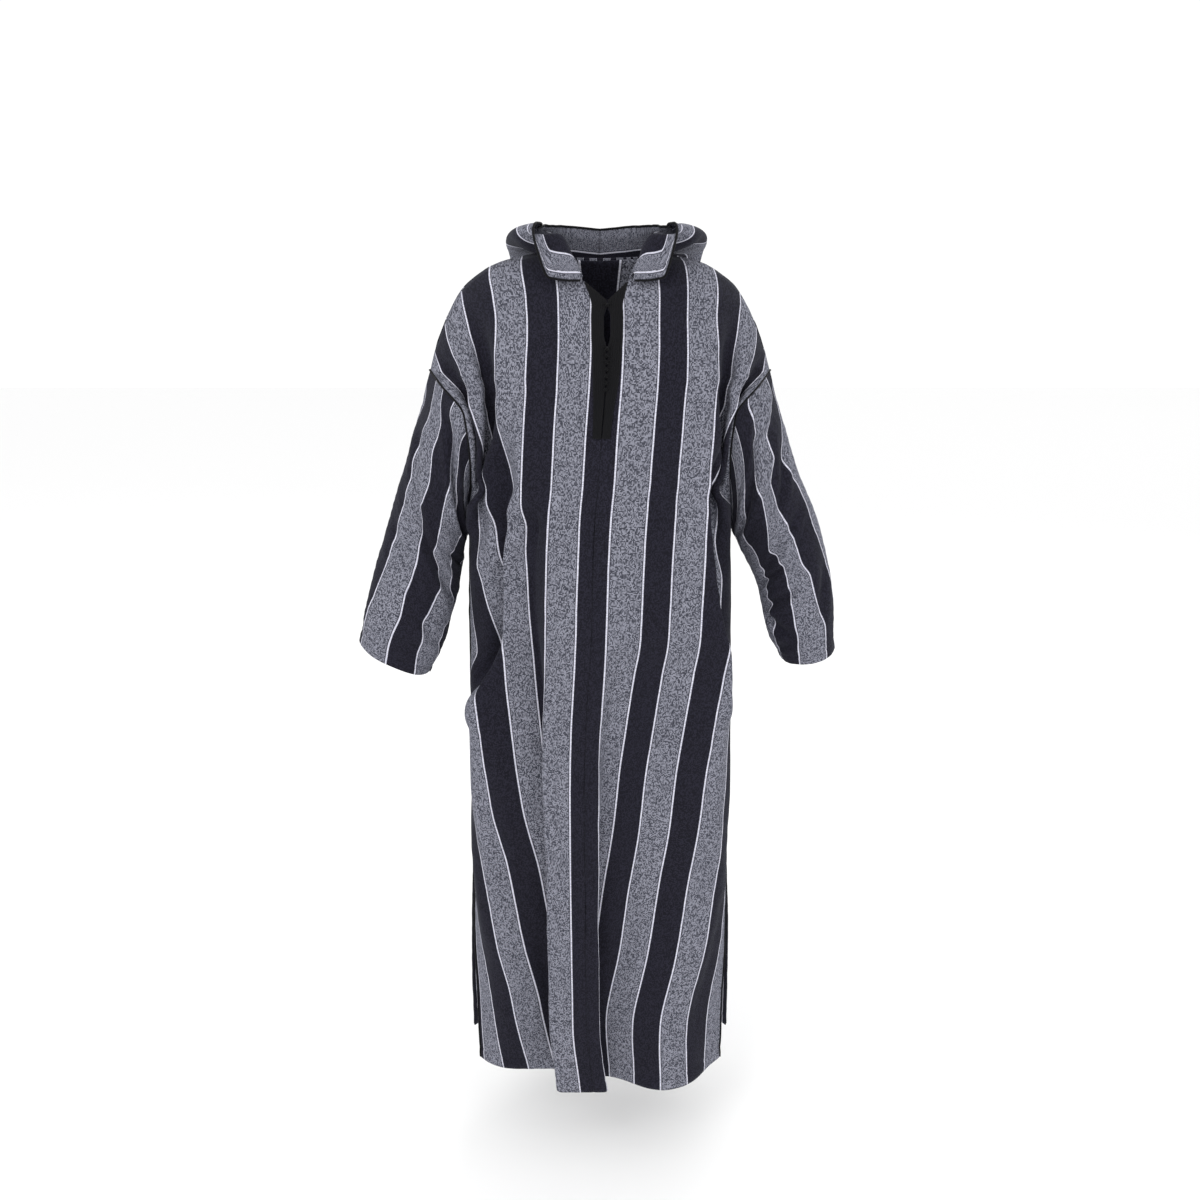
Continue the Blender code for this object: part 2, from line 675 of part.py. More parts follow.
def rim_cord(grid):
    """Places of the piping along the face edge of a half hood."""
    rim, inside = grid[:, -1], grid[:, -2]
    ahead = np.gradient(rim, axis=0)
    ahead /= np.linalg.norm(ahead, axis=1)[:, None]
    leaving = rim - inside
    leaving -= np.sum(leaving * ahead, axis=1)[:, None] * ahead
    leaving /= np.linalg.norm(leaving, axis=1)[:, None]
    return rim + leaving * (HOOD_PIPING_RADIUS + 5 * CLEAR)


def braid_grid(panel, rows, across):
    """The braid beside the neck slit: the panel's own points, moved out."""
    grid = []
    lift = WALL / 2 + BRAID_THICK / 2 + CLEAR
    for row in range(rows + 1):
        share = row / rows
        line = []
        for column in range(across + 1):
            width = read(BRAID, share).width
            cloth = BRAID_INSET + (width - BRAID_INSET) * column / across
            top = panel.top(cloth) - BRAID_THICK
            height = top + (NECK_SLIT_END - top) * share
            point = panel.point(cloth, height) + outward(panel, max(cloth, LEAST_STEP), height) * lift
            point[0] += panel.side * slit_gap(height)
            line.append(point)
        grid.append(line)
    return grid


def add_button(name, place, collection, material):
    bpy.ops.mesh.primitive_uv_sphere_add(segments=8, ring_count=6, radius=BUTTON_RADIUS, location=place)
    button = bpy.context.object
    button.name = name
    button.data.shade_smooth()
    button.data.materials.append(material)
    for holder in list(button.users_collection):
        holder.objects.unlink(button)
    collection.objects.link(button)


def build():
    for old in list(bpy.data.objects):
        bpy.data.objects.remove(old, do_unlink=True)
    robe = bpy.data.collections.new("djellaba_robe")
    bpy.context.scene.collection.children.link(robe)
    stripe = new_material("striped_wool", (0.10, 0.10, 0.13), 0.88)
    plain = new_material("dark_wool", (0.02, 0.02, 0.03), 0.88)
    black = new_material("black_braid", (0.006, 0.006, 0.008), 0.70)

    front = (FRONT_LEVELS, FRONT_EDGE, FRONT_FOLDS, FRONT_NECK, FRONT_FIT)
    back = (BACK_LEVELS, BACK_EDGE, BACK_FOLDS, BACK_NECK, BACK_FIT)
    fronts = {side: HalfPanel(side, *front) for side in (-1, 1)}
    backs = {side: HalfPanel(side, *back) for side in (-1, 1)}
    names = {-1: "right", 1: "left"}
    for side in (-1, 1):
        grid = panel_grid(fronts[side], (2, 1, 0, 0, 0), opens=True)
        add_cloth(f"front_{names[side]}", grid, robe, stripe)
    halves = {side: panel_grid(backs[side], (2, 2, 1), opens=False) for side in (-1, 1)}
    whole = [right[::-1] + left[1:] for right, left in zip(halves[-1], halves[1])]
    add_cloth("back", whole, robe, stripe)

    for side in (-1, 1):
        name = names[side]
        sleeve = sleeve_grid(side, fronts[side], backs[side], 8)
        add_cloth(f"sleeve_{name}", sleeve, robe, stripe, closed=True)
        hood = hood_grid(side, fronts[side], backs[side], HOOD_SHARES, 8)
        add_cloth(f"hood_{name}", hood, robe, plain)
        add_tube(f"armhole_piping_{name}", armhole_cord(sleeve), PIPING_RADIUS, robe, black)
        add_tube(f"hood_piping_{name}", rim_cord(hood), HOOD_PIPING_RADIUS, robe, black)
        seam = np.linspace(UNDERARM - PIPING_BELOW, HEM + PIPING_SHORT, 26)
        add_tube(f"side_piping_front_{name}", edge_cord(fronts[side], seam), PIPING_RADIUS, robe, black)
        slit = np.linspace(SLIT_TOP - SLIT_PIPING_BELOW, HEM + PIPING_SHORT, 14)
        add_tube(f"side_piping_back_{name}", edge_cord(backs[side], slit), PIPING_RADIUS, robe, black)
        braid = add_cloth(f"neck_braid_{name}", braid_grid(fronts[side], 16, 2), robe, black)
        braid.modifiers["Wall"].thickness = BRAID_THICK

    heights = [TOP_KNOT] + [FIRST_BUTTON - BUTTON_PITCH * index for index in range(BUTTONS_IN_ROW)]
    lift = WALL / 2 + BRAID_THICK + BUTTON_RADIUS + 3 * CLEAR
    for index, height in enumerate(heights):
        front_y = fronts[1].point(0.0, height)[1]
        add_button(f"button_{index + 1}", (centre_line(height), front_y - lift, height), robe, black)


build()
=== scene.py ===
"""A hooded djellaba robe in striped wool, hollow as it is worn: the looks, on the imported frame.

Metres, +Z up. The wearer would face -Y, with the right arm towards -X. z = 0 lies on the shoulder
ridge at the base of the neck. Cloth is laid out by its own measures: "cloth" is the distance from
the middle of a panel along the weft, and the stripes follow it.
"""

import math
from collections import namedtuple

import bpy
import mathutils
import numpy as np
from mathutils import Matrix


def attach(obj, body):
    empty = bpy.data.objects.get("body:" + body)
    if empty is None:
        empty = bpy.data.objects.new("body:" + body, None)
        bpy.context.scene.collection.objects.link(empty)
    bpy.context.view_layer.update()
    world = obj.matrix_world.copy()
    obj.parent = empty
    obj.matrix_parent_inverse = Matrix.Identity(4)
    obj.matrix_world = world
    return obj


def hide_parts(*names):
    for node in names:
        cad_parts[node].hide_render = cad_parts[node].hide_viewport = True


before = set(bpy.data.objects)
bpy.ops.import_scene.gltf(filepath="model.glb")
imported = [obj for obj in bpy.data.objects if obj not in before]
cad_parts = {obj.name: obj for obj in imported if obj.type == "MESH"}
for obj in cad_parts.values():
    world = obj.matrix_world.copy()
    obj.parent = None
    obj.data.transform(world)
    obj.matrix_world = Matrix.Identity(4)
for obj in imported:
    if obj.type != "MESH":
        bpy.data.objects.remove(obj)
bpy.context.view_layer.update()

# Driving dimensions, as in the frame
WALL = 0.0016
NECK_HALF = 0.085
ARMHOLE_TOP = -0.158
UNDERARM = -0.385
SLIT_TOP = -0.860
HEM = -1.325
HALF_AT_ARMHOLE = 0.325
HALF_AT_HEM = 0.350
NECK_TOP = -0.050
NECK_SLIT_END = -0.236
KEYHOLE_TOP = -0.058
KEYHOLE_END = -0.115
KEYHOLE_HALF = 0.0040
SLIT_REACH = 0.030
PIPING_RADIUS = 0.0014
PIPING_INSET = 0.0022
HOOD_PIPING_RADIUS = 0.0018
BRAID_THICK = 0.0014
BRAID_INSET = 0.0008
BUTTON_RADIUS = 0.0026
BUTTON_PITCH = 0.0092
TOP_KNOT = -0.056
FIRST_BUTTON = -0.113
BUTTONS_IN_ROW = 7
SEAM_GAP = 0.0003
SLIT_CLOSED = 0.00012
SLIT_CLEAR = 0.0003
KEYHOLE_FOOT_OVER = 0.02
KEYHOLE_HEAD_OVER = 0.012
SLIT_FOOT_OVER = 0.004
PLEAT_RAMP = 0.22
INNER_CLEAR = 0.003
INNER_CLEAR_OVER = 0.06
FITTING_STEPS = 12

# Cloth
STRIPE = 0.045
PINSTRIPE = 0.0024
FLOOR = -1.47

SIDE_NAMES = {-1: "right", 1: "left"}

# How fine the meshes are
PANEL_COLUMNS, PANEL_ROWS = 140, 250
BACK_COLUMNS, BACK_ROWS = 100, 220
SLEEVE_AROUND, SLEEVE_ROWS = 200, 160
HOOD_ROWS, HOOD_ACROSS = 90, 70
SAMPLES = 480
SHOULDER_END, SHOULDER_STEP, SKIRT_STEP = -0.17, 0.0006, 0.003

# Below a height, coming in over some way down, each section rolls round the side where it must to
# meet its edge. What it misses the edge by is spread along it, in x and in y, by powers of the way
# there.
Fit = namedtuple("Fit", "below over power_x power_y")
FRONT_FIT = Fit(-0.36, 0.06, 2.5, 2.5)
BACK_FIT = Fit(-0.46, 0.36, 1.0, 2.0)
ROLL_NEAREST, ROLL_PAST_END = 0.17, 0.04

Ridge = namedtuple("Ridge", "cloth x z")
RIDGE = [
    Ridge(0.085, 0.085, 0.010),
    Ridge(0.145, 0.146, -0.005),
    Ridge(0.195, 0.193, -0.034),
    Ridge(0.235, 0.219, -0.072),
    Ridge(0.270, 0.235, -0.106),
    Ridge(0.325, 0.252, -0.158),
]
RIDGE_Y = 0.005

Neck = namedtuple("Neck", "cloth z")
FRONT_NECK = [Neck(0.0, -0.050), Neck(0.030, -0.026), Neck(0.060, -0.008), Neck(0.085, 0.010)]
BACK_NECK = [Neck(0.0, -0.006), Neck(0.040, -0.004), Neck(0.070, 0.002), Neck(0.085, 0.010)]

# Level sections of a half panel: where its centre line lies, how far the centre line has swung
# towards +X, and how the section turns towards the side.
Level = namedtuple("Level", "height centre swing turn_at turn_over turn")
FRONT_LEVELS = [
    Level(0.010, -0.050, 0.004, 0.080, 0.08, 40),
    Level(-0.050, -0.088, 0.010, 0.180, 0.14, 40),
    Level(-0.100, -0.107, 0.010, 0.220, 0.14, 50),
    Level(-0.158, -0.120, 0.008, 0.270, 0.13, 60),
    Level(-0.210, -0.127, 0.004, 0.300, 0.10, 10),
    Level(-0.300, -0.130, -0.002, 0.310, 0.06, 30),
    Level(-0.345, -0.131, -0.006, 0.270, 0.09, 85),
    Level(-0.400, -0.131, -0.009, 0.260, 0.10, 86),
    Level(-0.550, -0.132, -0.014, 0.268, 0.10, 88),
    Level(-0.700, -0.134, -0.022, 0.238, 0.09, 90),
    Level(-0.800, -0.137, -0.024, 0.240, 0.09, 90),
    Level(-0.950, -0.140, -0.024, 0.258, 0.09, 88),
    Level(-1.200, -0.150, -0.022, 0.310, 0.10, 60),
    Level(-1.325, -0.156, -0.010, 0.320, 0.09, 50),
]
BACK_LEVELS = [
    Level(0.010, 0.080, 0.0, 0.045, 0.08, 80),
    Level(-0.050, 0.096, 0.0, 0.140, 0.14, 80),
    Level(-0.100, 0.106, 0.0, 0.200, 0.14, 85),
    Level(-0.158, 0.113, 0.0, 0.260, 0.13, 90),
    Level(-0.210, 0.118, 0.0, 0.300, 0.10, 30),
    Level(-0.300, 0.118, 0.0, 0.300, 0.10, 30),
    Level(-0.385, 0.112, 0.0, 0.270, 0.10, 85),
    Level(-0.550, 0.106, 0.0, 0.270, 0.10, 88),
    Level(-0.750, 0.118, 0.0, 0.275, 0.09, 90),
    Level(-0.950, 0.122, 0.0, 0.285, 0.10, 80),
    Level(-1.325, 0.130, 0.0, 0.300, 0.10, 60),
]

# Side edge of each panel below the armhole's top: the armhole, the side seam, then the open slit.
Edge = namedtuple("Edge", "height x y")
FRONT_EDGE = [
    Edge(-0.158, 0.252, 0.005),
    Edge(-0.175, 0.226, -0.058),
    Edge(-0.210, 0.194, -0.086),
    Edge(-0.270, 0.190, -0.070),
    Edge(-0.330, 0.193, -0.040),
    Edge(-0.385, 0.198, -0.010),
    Edge(-0.600, 0.204, -0.006),
    Edge(-0.860, 0.207, -0.006),
    Edge(-1.100, 0.211, -0.030),
    Edge(-1.325, 0.207, -0.060),
]
BACK_EDGE = [
    Edge(-0.158, 0.252, 0.005),
    Edge(-0.185, 0.240, 0.058),
    Edge(-0.230, 0.216, 0.080),
    Edge(-0.290, 0.204, 0.060),
    Edge(-0.340, 0.198, 0.025),
    Edge(-0.385, 0.198, -0.010),
    Edge(-0.600, 0.204, -0.006),
    Edge(-0.860, 0.207, -0.006),
    Edge(-1.100, 0.220, 0.012),
    Edge(-1.325, 0.226, 0.030),
]

# Folds that run down a half panel. A pleat turns the cloth under and back again; a valley goes in
# and comes out. A row gives the height, the fold's middle and width in cloth, and its steepest turn.
Fold = namedtuple("Fold", "height middle width turn")
PLEAT, VALLEY = "pleat", "valley"
FRONT_FOLDS = {
    -1: [
        (PLEAT, [  # left edge of the panel that stands proud down the middle
            Fold(-0.32, 0.080, 0.030, 0),
            Fold(-0.37, 0.080, 0.032, 55),
            Fold(-0.47, 0.085, 0.045, 60),
            Fold(-0.59, 0.084, 0.045, 82),
            Fold(-0.73, 0.082, 0.044, 116),
            Fold(-0.82, 0.082, 0.047, 134),
            Fold(-0.94, 0.086, 0.062, 145),
            Fold(-1.08, 0.092, 0.078, 145),
            Fold(-1.19, 0.098, 0.094, 145),
            Fold(-1.33, 0.104, 0.104, 145),
        ]),
        (PLEAT, [  # slack that slants from under the arm to the hip
            Fold(-0.19, 0.142, 0.050, 0),
            Fold(-0.24, 0.140, 0.050, 48),
            Fold(-0.30, 0.138, 0.052, 76),
            Fold(-0.355, 0.156, 0.046, 92),
            Fold(-0.415, 0.164, 0.045, 128),
            Fold(-0.475, 0.170, 0.052, 145),
            Fold(-0.54, 0.180, 0.062, 145),
            Fold(-0.585, 0.200, 0.068, 140),
            Fold(-0.62, 0.222, 0.062, 112),
            Fold(-0.66, 0.240, 0.060, 50),
            Fold(-0.70, 0.250, 0.060, 0),
        ]),
        (VALLEY, [  # crease between chest and arm
            Fold(-0.06, 0.190, 0.070, 0),
            Fold(-0.10, 0.192, 0.080, 50),
            Fold(-0.125, 0.192, 0.090, 76),
            Fold(-0.16, 0.190, 0.090, 88),
            Fold(-0.20, 0.196, 0.100, 92),
            Fold(-0.24, 0.210, 0.096, 98),
            Fold(-0.30, 0.236, 0.070, 110),
            Fold(-0.355, 0.240, 0.070, 84),
            Fold(-0.40, 0.250, 0.080, 30),
            Fold(-0.44, 0.260, 0.080, 0),
        ]),
        (VALLEY, [  # cloth tucked in beside the armhole
            Fold(-0.13, 0.272, 0.070, 0),
            Fold(-0.16, 0.276, 0.072, 50),
            Fold(-0.20, 0.288, 0.074, 108),
            Fold(-0.24, 0.290, 0.070, 108),
            Fold(-0.30, 0.298, 0.054, 112),
            Fold(-0.33, 0.300, 0.050, 60),
            Fold(-0.35, 0.300, 0.050, 0),
        ]),
    ],
    1: [
        (PLEAT, [  # right edge of the panel that stands proud down the middle
            Fold(-0.53, 0.034, 0.030, 0),
            Fold(-0.60, 0.034, 0.030, 42),
            Fold(-0.69, 0.034, 0.035, 60),
            Fold(-0.76, 0.035, 0.036, 76),
            Fold(-0.85, 0.036, 0.037, 92),
            Fold(-0.98, 0.038, 0.042, 120),
            Fold(-1.08, 0.040, 0.048, 132),
            Fold(-1.20, 0.045, 0.060, 145),
            Fold(-1.33, 0.049, 0.067, 141),
        ]),
        (PLEAT, [  # slack that slants from under the arm to the hip
            Fold(-0.20, 0.178, 0.034, 0),
            Fold(-0.26, 0.178, 0.036, 60),
            Fold(-0.32, 0.182, 0.040, 112),
            Fold(-0.40, 0.192, 0.044, 140),
            Fold(-0.50, 0.212, 0.046, 138),
            Fold(-0.58, 0.236, 0.046, 110),
            Fold(-0.64, 0.246, 0.046, 60),
            Fold(-0.69, 0.256, 0.046, 0),
        ]),
        (VALLEY, [  # crease between chest and arm, and below it the swell of the left leg
            Fold(-0.06, 0.196, 0.070, 0),
            Fold(-0.10, 0.198, 0.080, 46),
            Fold(-0.125, 0.198, 0.090, 70),
            Fold(-0.16, 0.200, 0.090, 84),
            Fold(-0.20, 0.208, 0.096, 90),
            Fold(-0.24, 0.222, 0.090, 100),
            Fold(-0.30, 0.240, 0.066, 110),
            Fold(-0.355, 0.242, 0.066, 84),
            Fold(-0.42, 0.255, 0.080, 30),
            Fold(-0.46, 0.262, 0.080, 0),
            Fold(-0.85, 0.220, 0.160, 0),
            Fold(-1.10, 0.210, 0.200, -18),
            Fold(-1.33, 0.215, 0.220, -34),
        ]),
        (VALLEY, [  # cloth tucked in beside the armhole
            Fold(-0.13, 0.278, 0.066, 0),
            Fold(-0.16, 0.282, 0.068, 50),
            Fold(-0.20, 0.290, 0.070, 112),
            Fold(-0.24, 0.294, 0.064, 112),
            Fold(-0.30, 0.300, 0.052, 112),
            Fold(-0.33, 0.300, 0.050, 60),
            Fold(-0.35, 0.300, 0.050, 0),
        ]),
    ],
}
BACK_FOLDS = {
    -1: [
        (VALLEY, [  # long soft fold from the shoulder blade to the hem
            Fold(-0.25, 0.100, 0.070, 0),
            Fold(-0.60, 0.095, 0.080, 34),
            Fold(-1.00, 0.098, 0.090, 42),
            Fold(-1.33, 0.105, 0.100, 46),
        ]),
        (VALLEY, [  # crease between back and arm
            Fold(-0.11, 0.215, 0.080, 0),
            Fold(-0.17, 0.225, 0.100, 45),
            Fold(-0.24, 0.245, 0.130, 72),
            Fold(-0.32, 0.245, 0.130, 70),
            Fold(-0.42, 0.230, 0.110, 40),
            Fold(-0.70, 0.215, 0.090, 30),
            Fold(-1.33, 0.220, 0.090, 36),
        ]),
    ],
    1: [
        (VALLEY, [  # long soft fold from the shoulder blade to the hem
            Fold(-0.20, 0.085, 0.070, 0),
            Fold(-0.55, 0.085, 0.075, 30),
            Fold(-1.00, 0.082, 0.090, 44),
            Fold(-1.33, 0.080, 0.100, 42),
        ]),
        (VALLEY, [  # crease between back and arm
            Fold(-0.11, 0.215, 0.080, 0),
            Fold(-0.17, 0.225, 0.100, 45),
            Fold(-0.24, 0.245, 0.130, 72),
            Fold(-0.32, 0.250, 0.125, 70),
            Fold(-0.42, 0.235, 0.110, 44),
            Fold(-0.80, 0.210, 0.095, 30),
            Fold(-1.33, 0.205, 0.095, 38),
        ]),
    ],
}

# Rings down each sleeve: the middle of the ring, its half width across the arm, its half depth,
# and how far the inner side hangs below the outer one, in degrees.
Ring = namedtuple("Ring", "along x y z half_width half_depth tilt")
SLEEVE_RINGS = {
    -1: [
        Ring(0.28, 0.250, 0.000, -0.352, 0.078, 0.072, 58),
        Ring(0.60, 0.277, -0.012, -0.452, 0.070, 0.064, 40),
        Ring(0.84, 0.305, -0.026, -0.545, 0.066, 0.058, 28),
        Ring(1.00, 0.323, -0.034, -0.594, 0.059, 0.050, 27),
    ],
    1: [
        Ring(0.28, 0.252, 0.000, -0.352, 0.076, 0.072, 58),
        Ring(0.60, 0.291, -0.016, -0.440, 0.060, 0.064, 36),
        Ring(0.84, 0.312, -0.036, -0.535, 0.052, 0.060, 22),
        Ring(1.00, 0.323, -0.044, -0.583, 0.041, 0.060, 12),
    ],
}

# The weave isn't quite even: where some places across a panel lie in the pattern of stripes.
Weave = namedtuple("Weave", "cloth pattern")
FRONT_WEAVE = {
    -1: [
        Weave(0.0, 0.0),
        Weave(0.068, 0.0675),
        Weave(0.158, 0.1575),
        Weave(0.208, 0.2025),
        Weave(0.254, 0.2475),
        Weave(0.297, 0.2925),
        Weave(0.350, 0.3510),
    ],
    1: [
        Weave(0.0, 0.0),
        Weave(0.0225, 0.0225),
        Weave(0.074, 0.0675),
        Weave(0.116, 0.1125),
        Weave(0.163, 0.1575),
        Weave(0.210, 0.2025),
        Weave(0.257, 0.2475),
        Weave(0.303, 0.2925),
        Weave(0.350, 0.3400),
    ],
}

# Sections of a half hood, thrown back, from its front end to the middle of the back.
Loop = namedtuple("Loop", "share low_x low_y low_z high_x high_y high_z rim_x rim_y rim_z")
HOOD_LOOPS = [
    Loop(0.00, 0.031, -0.082, -0.020, 0.032, -0.084, -0.020, 0.032, -0.085, -0.022),
    Loop(0.10, 0.040, -0.064, 0.008, 0.050, -0.086, 0.020, 0.050, -0.086, -0.022),
    Loop(0.22, 0.052, -0.042, 0.050, 0.074, -0.076, 0.058, 0.076, -0.084, -0.018),
    Loop(0.29, 0.076, -0.046, 0.036, 0.090, -0.072, 0.054, 0.088, -0.086, 0.016),
    Loop(0.34, 0.090, -0.044, 0.022, 0.106, -0.062, 0.042, 0.094, -0.076, 0.043),
    Loop(0.39, 0.118, -0.036, 0.014, 0.124, -0.050, 0.044, 0.090, -0.064, 0.052),
    Loop(0.45, 0.138, -0.012, 0.016, 0.142, -0.020, 0.052, 0.084, -0.030, 0.050),
    Loop(0.66, 0.160, 0.140, -0.010, 0.160, 0.140, 0.020, 0.092, 0.058, 0.044),
    Loop(0.84, 0.110, 0.220, -0.220, 0.122, 0.215, -0.250, 0.060, 0.114, 0.042),
    Loop(1.00, 0.001, 0.215, -0.340, 0.001, 0.210, -0.400, 0.001, 0.134, 0.036),
]
HOOD_FRONT = 0.029
HOOD_AT_RIDGE = 0.45
HOOD_LIFT = 0.0032
HOOD_REACH = {-1: 1.00, 1: 1.16}
HOOD_HEM = 0.010
HOOD_TRIMMED = 0.021
HOOD_HEM_LINE = 0.008
HOOD_HEM_DIP = 0.0006
HOOD_MIDDLE = 0.0012
HOOD_START = 0.03
HOOD_SWING_OVER = 0.4
HOOD_LIFT_OVER = 0.3
HOOD_SLANT = 0.25
HOOD_INSIDE = (0.09, 0.05, 0.03)
HOOD_FREE_OVER, HOOD_MIDDLE_OVER = 0.2, 0.12

# Creases pressed into the cloth: each runs from one place to another, bowed sideways by
# bow, and is a trough of its depth with a low lip on either side.
Crease = namedtuple("Crease", "u0 v0 u1 v1 width depth bow")
CREASE_ENDS = 0.35
LIP_SHARE, LIP_AT = 0.42, 1.15


def smooth(value):
    """Eases 0..1 in and out."""
    value = np.clip(value, 0.0, 1.0)
    return value * value * (3.0 - 2.0 * value)


def curve(keys, values, at):
    """Values at places along a smooth curve through rows of values, with no overshoot."""
    keys, values = np.asarray(keys, float), np.asarray(values, float)
    if keys[0] > keys[-1]:
        keys, values = keys[::-1], values[::-1]
    at = np.clip(np.asarray(at, float), keys[0], keys[-1])
    slopes = np.diff(values, axis=0) / np.diff(keys).reshape((-1,) + (1,) * (values.ndim - 1))
    before, after = slopes[:-1], slopes[1:]
    same_way = before * after > 0
    inner = np.where(same_way, 2 * before * after / np.where(same_way, before + after, 1.0), 0.0)
    tangents = np.concatenate([slopes[:1], inner, slopes[-1:]])
    high = np.clip(np.searchsorted(keys, at), 1, len(keys) - 1)
    low = high - 1
    tail = at.shape + (1,) * (values.ndim - 1)
    span = (keys[high] - keys[low]).reshape(tail)
    part = (at - keys[low]).reshape(tail) / span
    rest = 1.0 - part
    return (
        (1 + 2 * part) * rest**2 * values[low]
        + part * rest**2 * span * tangents[low]
        + part**2 * (3 - 2 * part) * values[high]
        - part**2 * rest * span * tangents[high]
    )


def read(rows, at):
    """Columns of a table, after the first, at values of its first column."""
    table = np.array(rows, float)
    return np.moveaxis(curve(table[:, 0], table[:, 1:], at), -1, 0)


def unit(vectors):
    return vectors / np.maximum(np.linalg.norm(vectors, axis=-1, keepdims=True), 1e-12)


def lengths_along(points):
    """Distance along a line of points, at each of them."""
    return np.concatenate([[0.0], np.cumsum(np.linalg.norm(np.diff(points, axis=0), axis=1))])


def half_width(height):
    """Cloth from the centre of a panel to its side edge."""
    share = np.clip((ARMHOLE_TOP - height) / (ARMHOLE_TOP - HEM), 0.0, 1.0)
    return HALF_AT_ARMHOLE + (HALF_AT_HEM - HALF_AT_ARMHOLE) * share


def centre_line(height):
    """How far the middle of the front has swung towards +X."""
    return float(read(FRONT_LEVELS, height)[1])


class Panel:
    """The surface of a front or back panel on one side: side is -1 or 1, towards -X or +X."""

    def __init__(self, side, levels, edges, folds, neck, fit):
        self.side, self.neck = side, neck
        shoulder = np.arange(RIDGE[0].z - 0.0001, SHOULDER_END, -SHOULDER_STEP)
        skirt = np.arange(SHOULDER_END, HEM - 2 * SKIRT_STEP, -SKIRT_STEP)
        self.heights = np.concatenate([shoulder, skirt])
        centre, swing, turn_at, turn_over, turn = read(levels, self.heights)
        end, end_x, end_y = self.ends(edges)
        self.end = end
        share = np.linspace(0.0, 1.0, SAMPLES)
        cloth = share[None] * end[:, None]
        folded = np.zeros_like(cloth)
        for kind, rows in folds[side]:
            folded = folded + self.fold_turn(kind, rows, cloth)
        inward = 1.0 if levels[0].centre < 0 else -1.0
        step = np.diff(cloth, axis=1)

        def rolled(start):
            """Headings along each section when it rolls round the side from start."""
            rolling = smooth((cloth - start[:, None]) / turn_over[:, None] + 0.5)
            heading = folded + np.radians(turn)[:, None] * rolling
            return (heading[:, 1:] + heading[:, :-1]) / 2

        low, high = np.full_like(end, ROLL_NEAREST), end + ROLL_PAST_END
        for _ in range(FITTING_STEPS):
            tried = (low + high) / 2
            reach = np.sum(np.cos(rolled(tried)) * step, axis=1) + side * swing
            low, high = np.where(reach < end_x, tried, low), np.where(reach < end_x, high, tried)
        fitted = smooth((fit.below - self.heights) / fit.over)
        middle = rolled(turn_at + fitted * ((low + high) / 2 - turn_at))
        start = np.zeros((len(end), 1))
        x = np.hstack([start, np.cumsum(np.cos(middle) * step, axis=1)]) + side * swing[:, None]
        y = np.hstack([start, np.cumsum(np.sin(middle) * step, axis=1)]) * inward + centre[:, None]
        self.x = x + (end_x - x[:, -1])[:, None] * share**fit.power_x
        self.y = y + (end_y - inward * SEAM_GAP / 2 - y[:, -1])[:, None] * share**fit.power_y

    def ends(self, edges):
        """Where each level section ends: cloth distance, x and y."""
        fine = np.linspace(RIDGE[0].cloth, RIDGE[-1].cloth, 200)
        ridge_x, ridge_z = read(RIDGE, fine)
        on_ridge = np.interp(self.heights, ridge_z[::-1], fine[::-1])
        edge_x, edge_y = read(edges, self.heights)
        above = self.heights >= ARMHOLE_TOP
        return (
            np.where(above, on_ridge, half_width(self.heights)),
            np.where(above, np.interp(on_ridge, fine, ridge_x), edge_x),
            np.where(above, RIDGE_Y, edge_y),
        )

    def fold_turn(self, kind, rows, cloth):
        """The turn, in radians, that one fold adds to the heading of every section."""
        middle, width, turn = (column[:, None] for column in read(rows, self.heights))
        place = (cloth - middle) / width
        if kind == PLEAT:
            shape = smooth((0.5 - np.abs(place)) / PLEAT_RAMP)
        else:
            shape = np.where(np.abs(place) < 0.5, np.sin(2 * math.pi * (place + 0.5)), 0.0)
        return np.radians(turn) * shape

    def top(self, cloth):
        """Height of the panel's upper edge, at the neck or on the ridge."""
        neck = read(self.neck, cloth)[0]
        ridge = read(RIDGE, cloth)[1]
        return np.where(cloth < NECK_HALF, neck, ridge)

    def place(self, cloth, height):
        """Points of the surface, for arrays of cloth distances and heights."""
        cloth, height = np.broadcast_arrays(np.asarray(cloth, float), np.asarray(height, float))
        count = len(self.heights)
        rank = np.interp(height, self.heights[::-1], np.arange(count)[::-1].astype(float))
        low = np.clip(rank.astype(int), 0, count - 2)
        part = rank - low
        x, y = 0.0, 0.0
        for row, weight in ((low, 1.0 - part), (low + 1, part)):
            along = np.clip(cloth / self.end[row], 0.0, 1.0) * (SAMPLES - 1)
            column = np.clip(along.astype(int), 0, SAMPLES - 2)
            fraction = along - column
            x = x + weight * ((1 - fraction) * self.x[row, column] + fraction * self.x[row, column + 1])
            y = y + weight * ((1 - fraction) * self.y[row, column] + fraction * self.y[row, column + 1])
        return np.stack([self.side * x, y, height], axis=-1)


class Cloth:
    """A grid of points with the cloth coordinates of each: u across the stripes, v along them.

    shift is how far the stripes lie from their even places across each point.
    """

    def __init__(self, points, u, v):
        self.points, self.u, self.v = points, u, v
        self.shift = np.zeros_like(u)

    def normals(self, inside):
        """Unit vectors out of the cloth. inside is a point or points that lie within the robe."""
        across, down = np.gradient(self.points, axis=1), np.gradient(self.points, axis=0)
        normal = unit(np.cross(across, down))
        facing = np.sum(normal * (self.points - inside))
        return normal if facing > 0 else -normal

    def press(self, creases, inside):
        """Displaces the cloth by a table of creases."""
        self.raise_by(-sum(crease_depth(crease, self.u, self.v) for crease in creases), inside)

    def raise_by(self, lift, inside):
        """Moves each point out of the cloth by its own distance."""
        self.points = self.points + self.normals(inside) * lift[..., None]


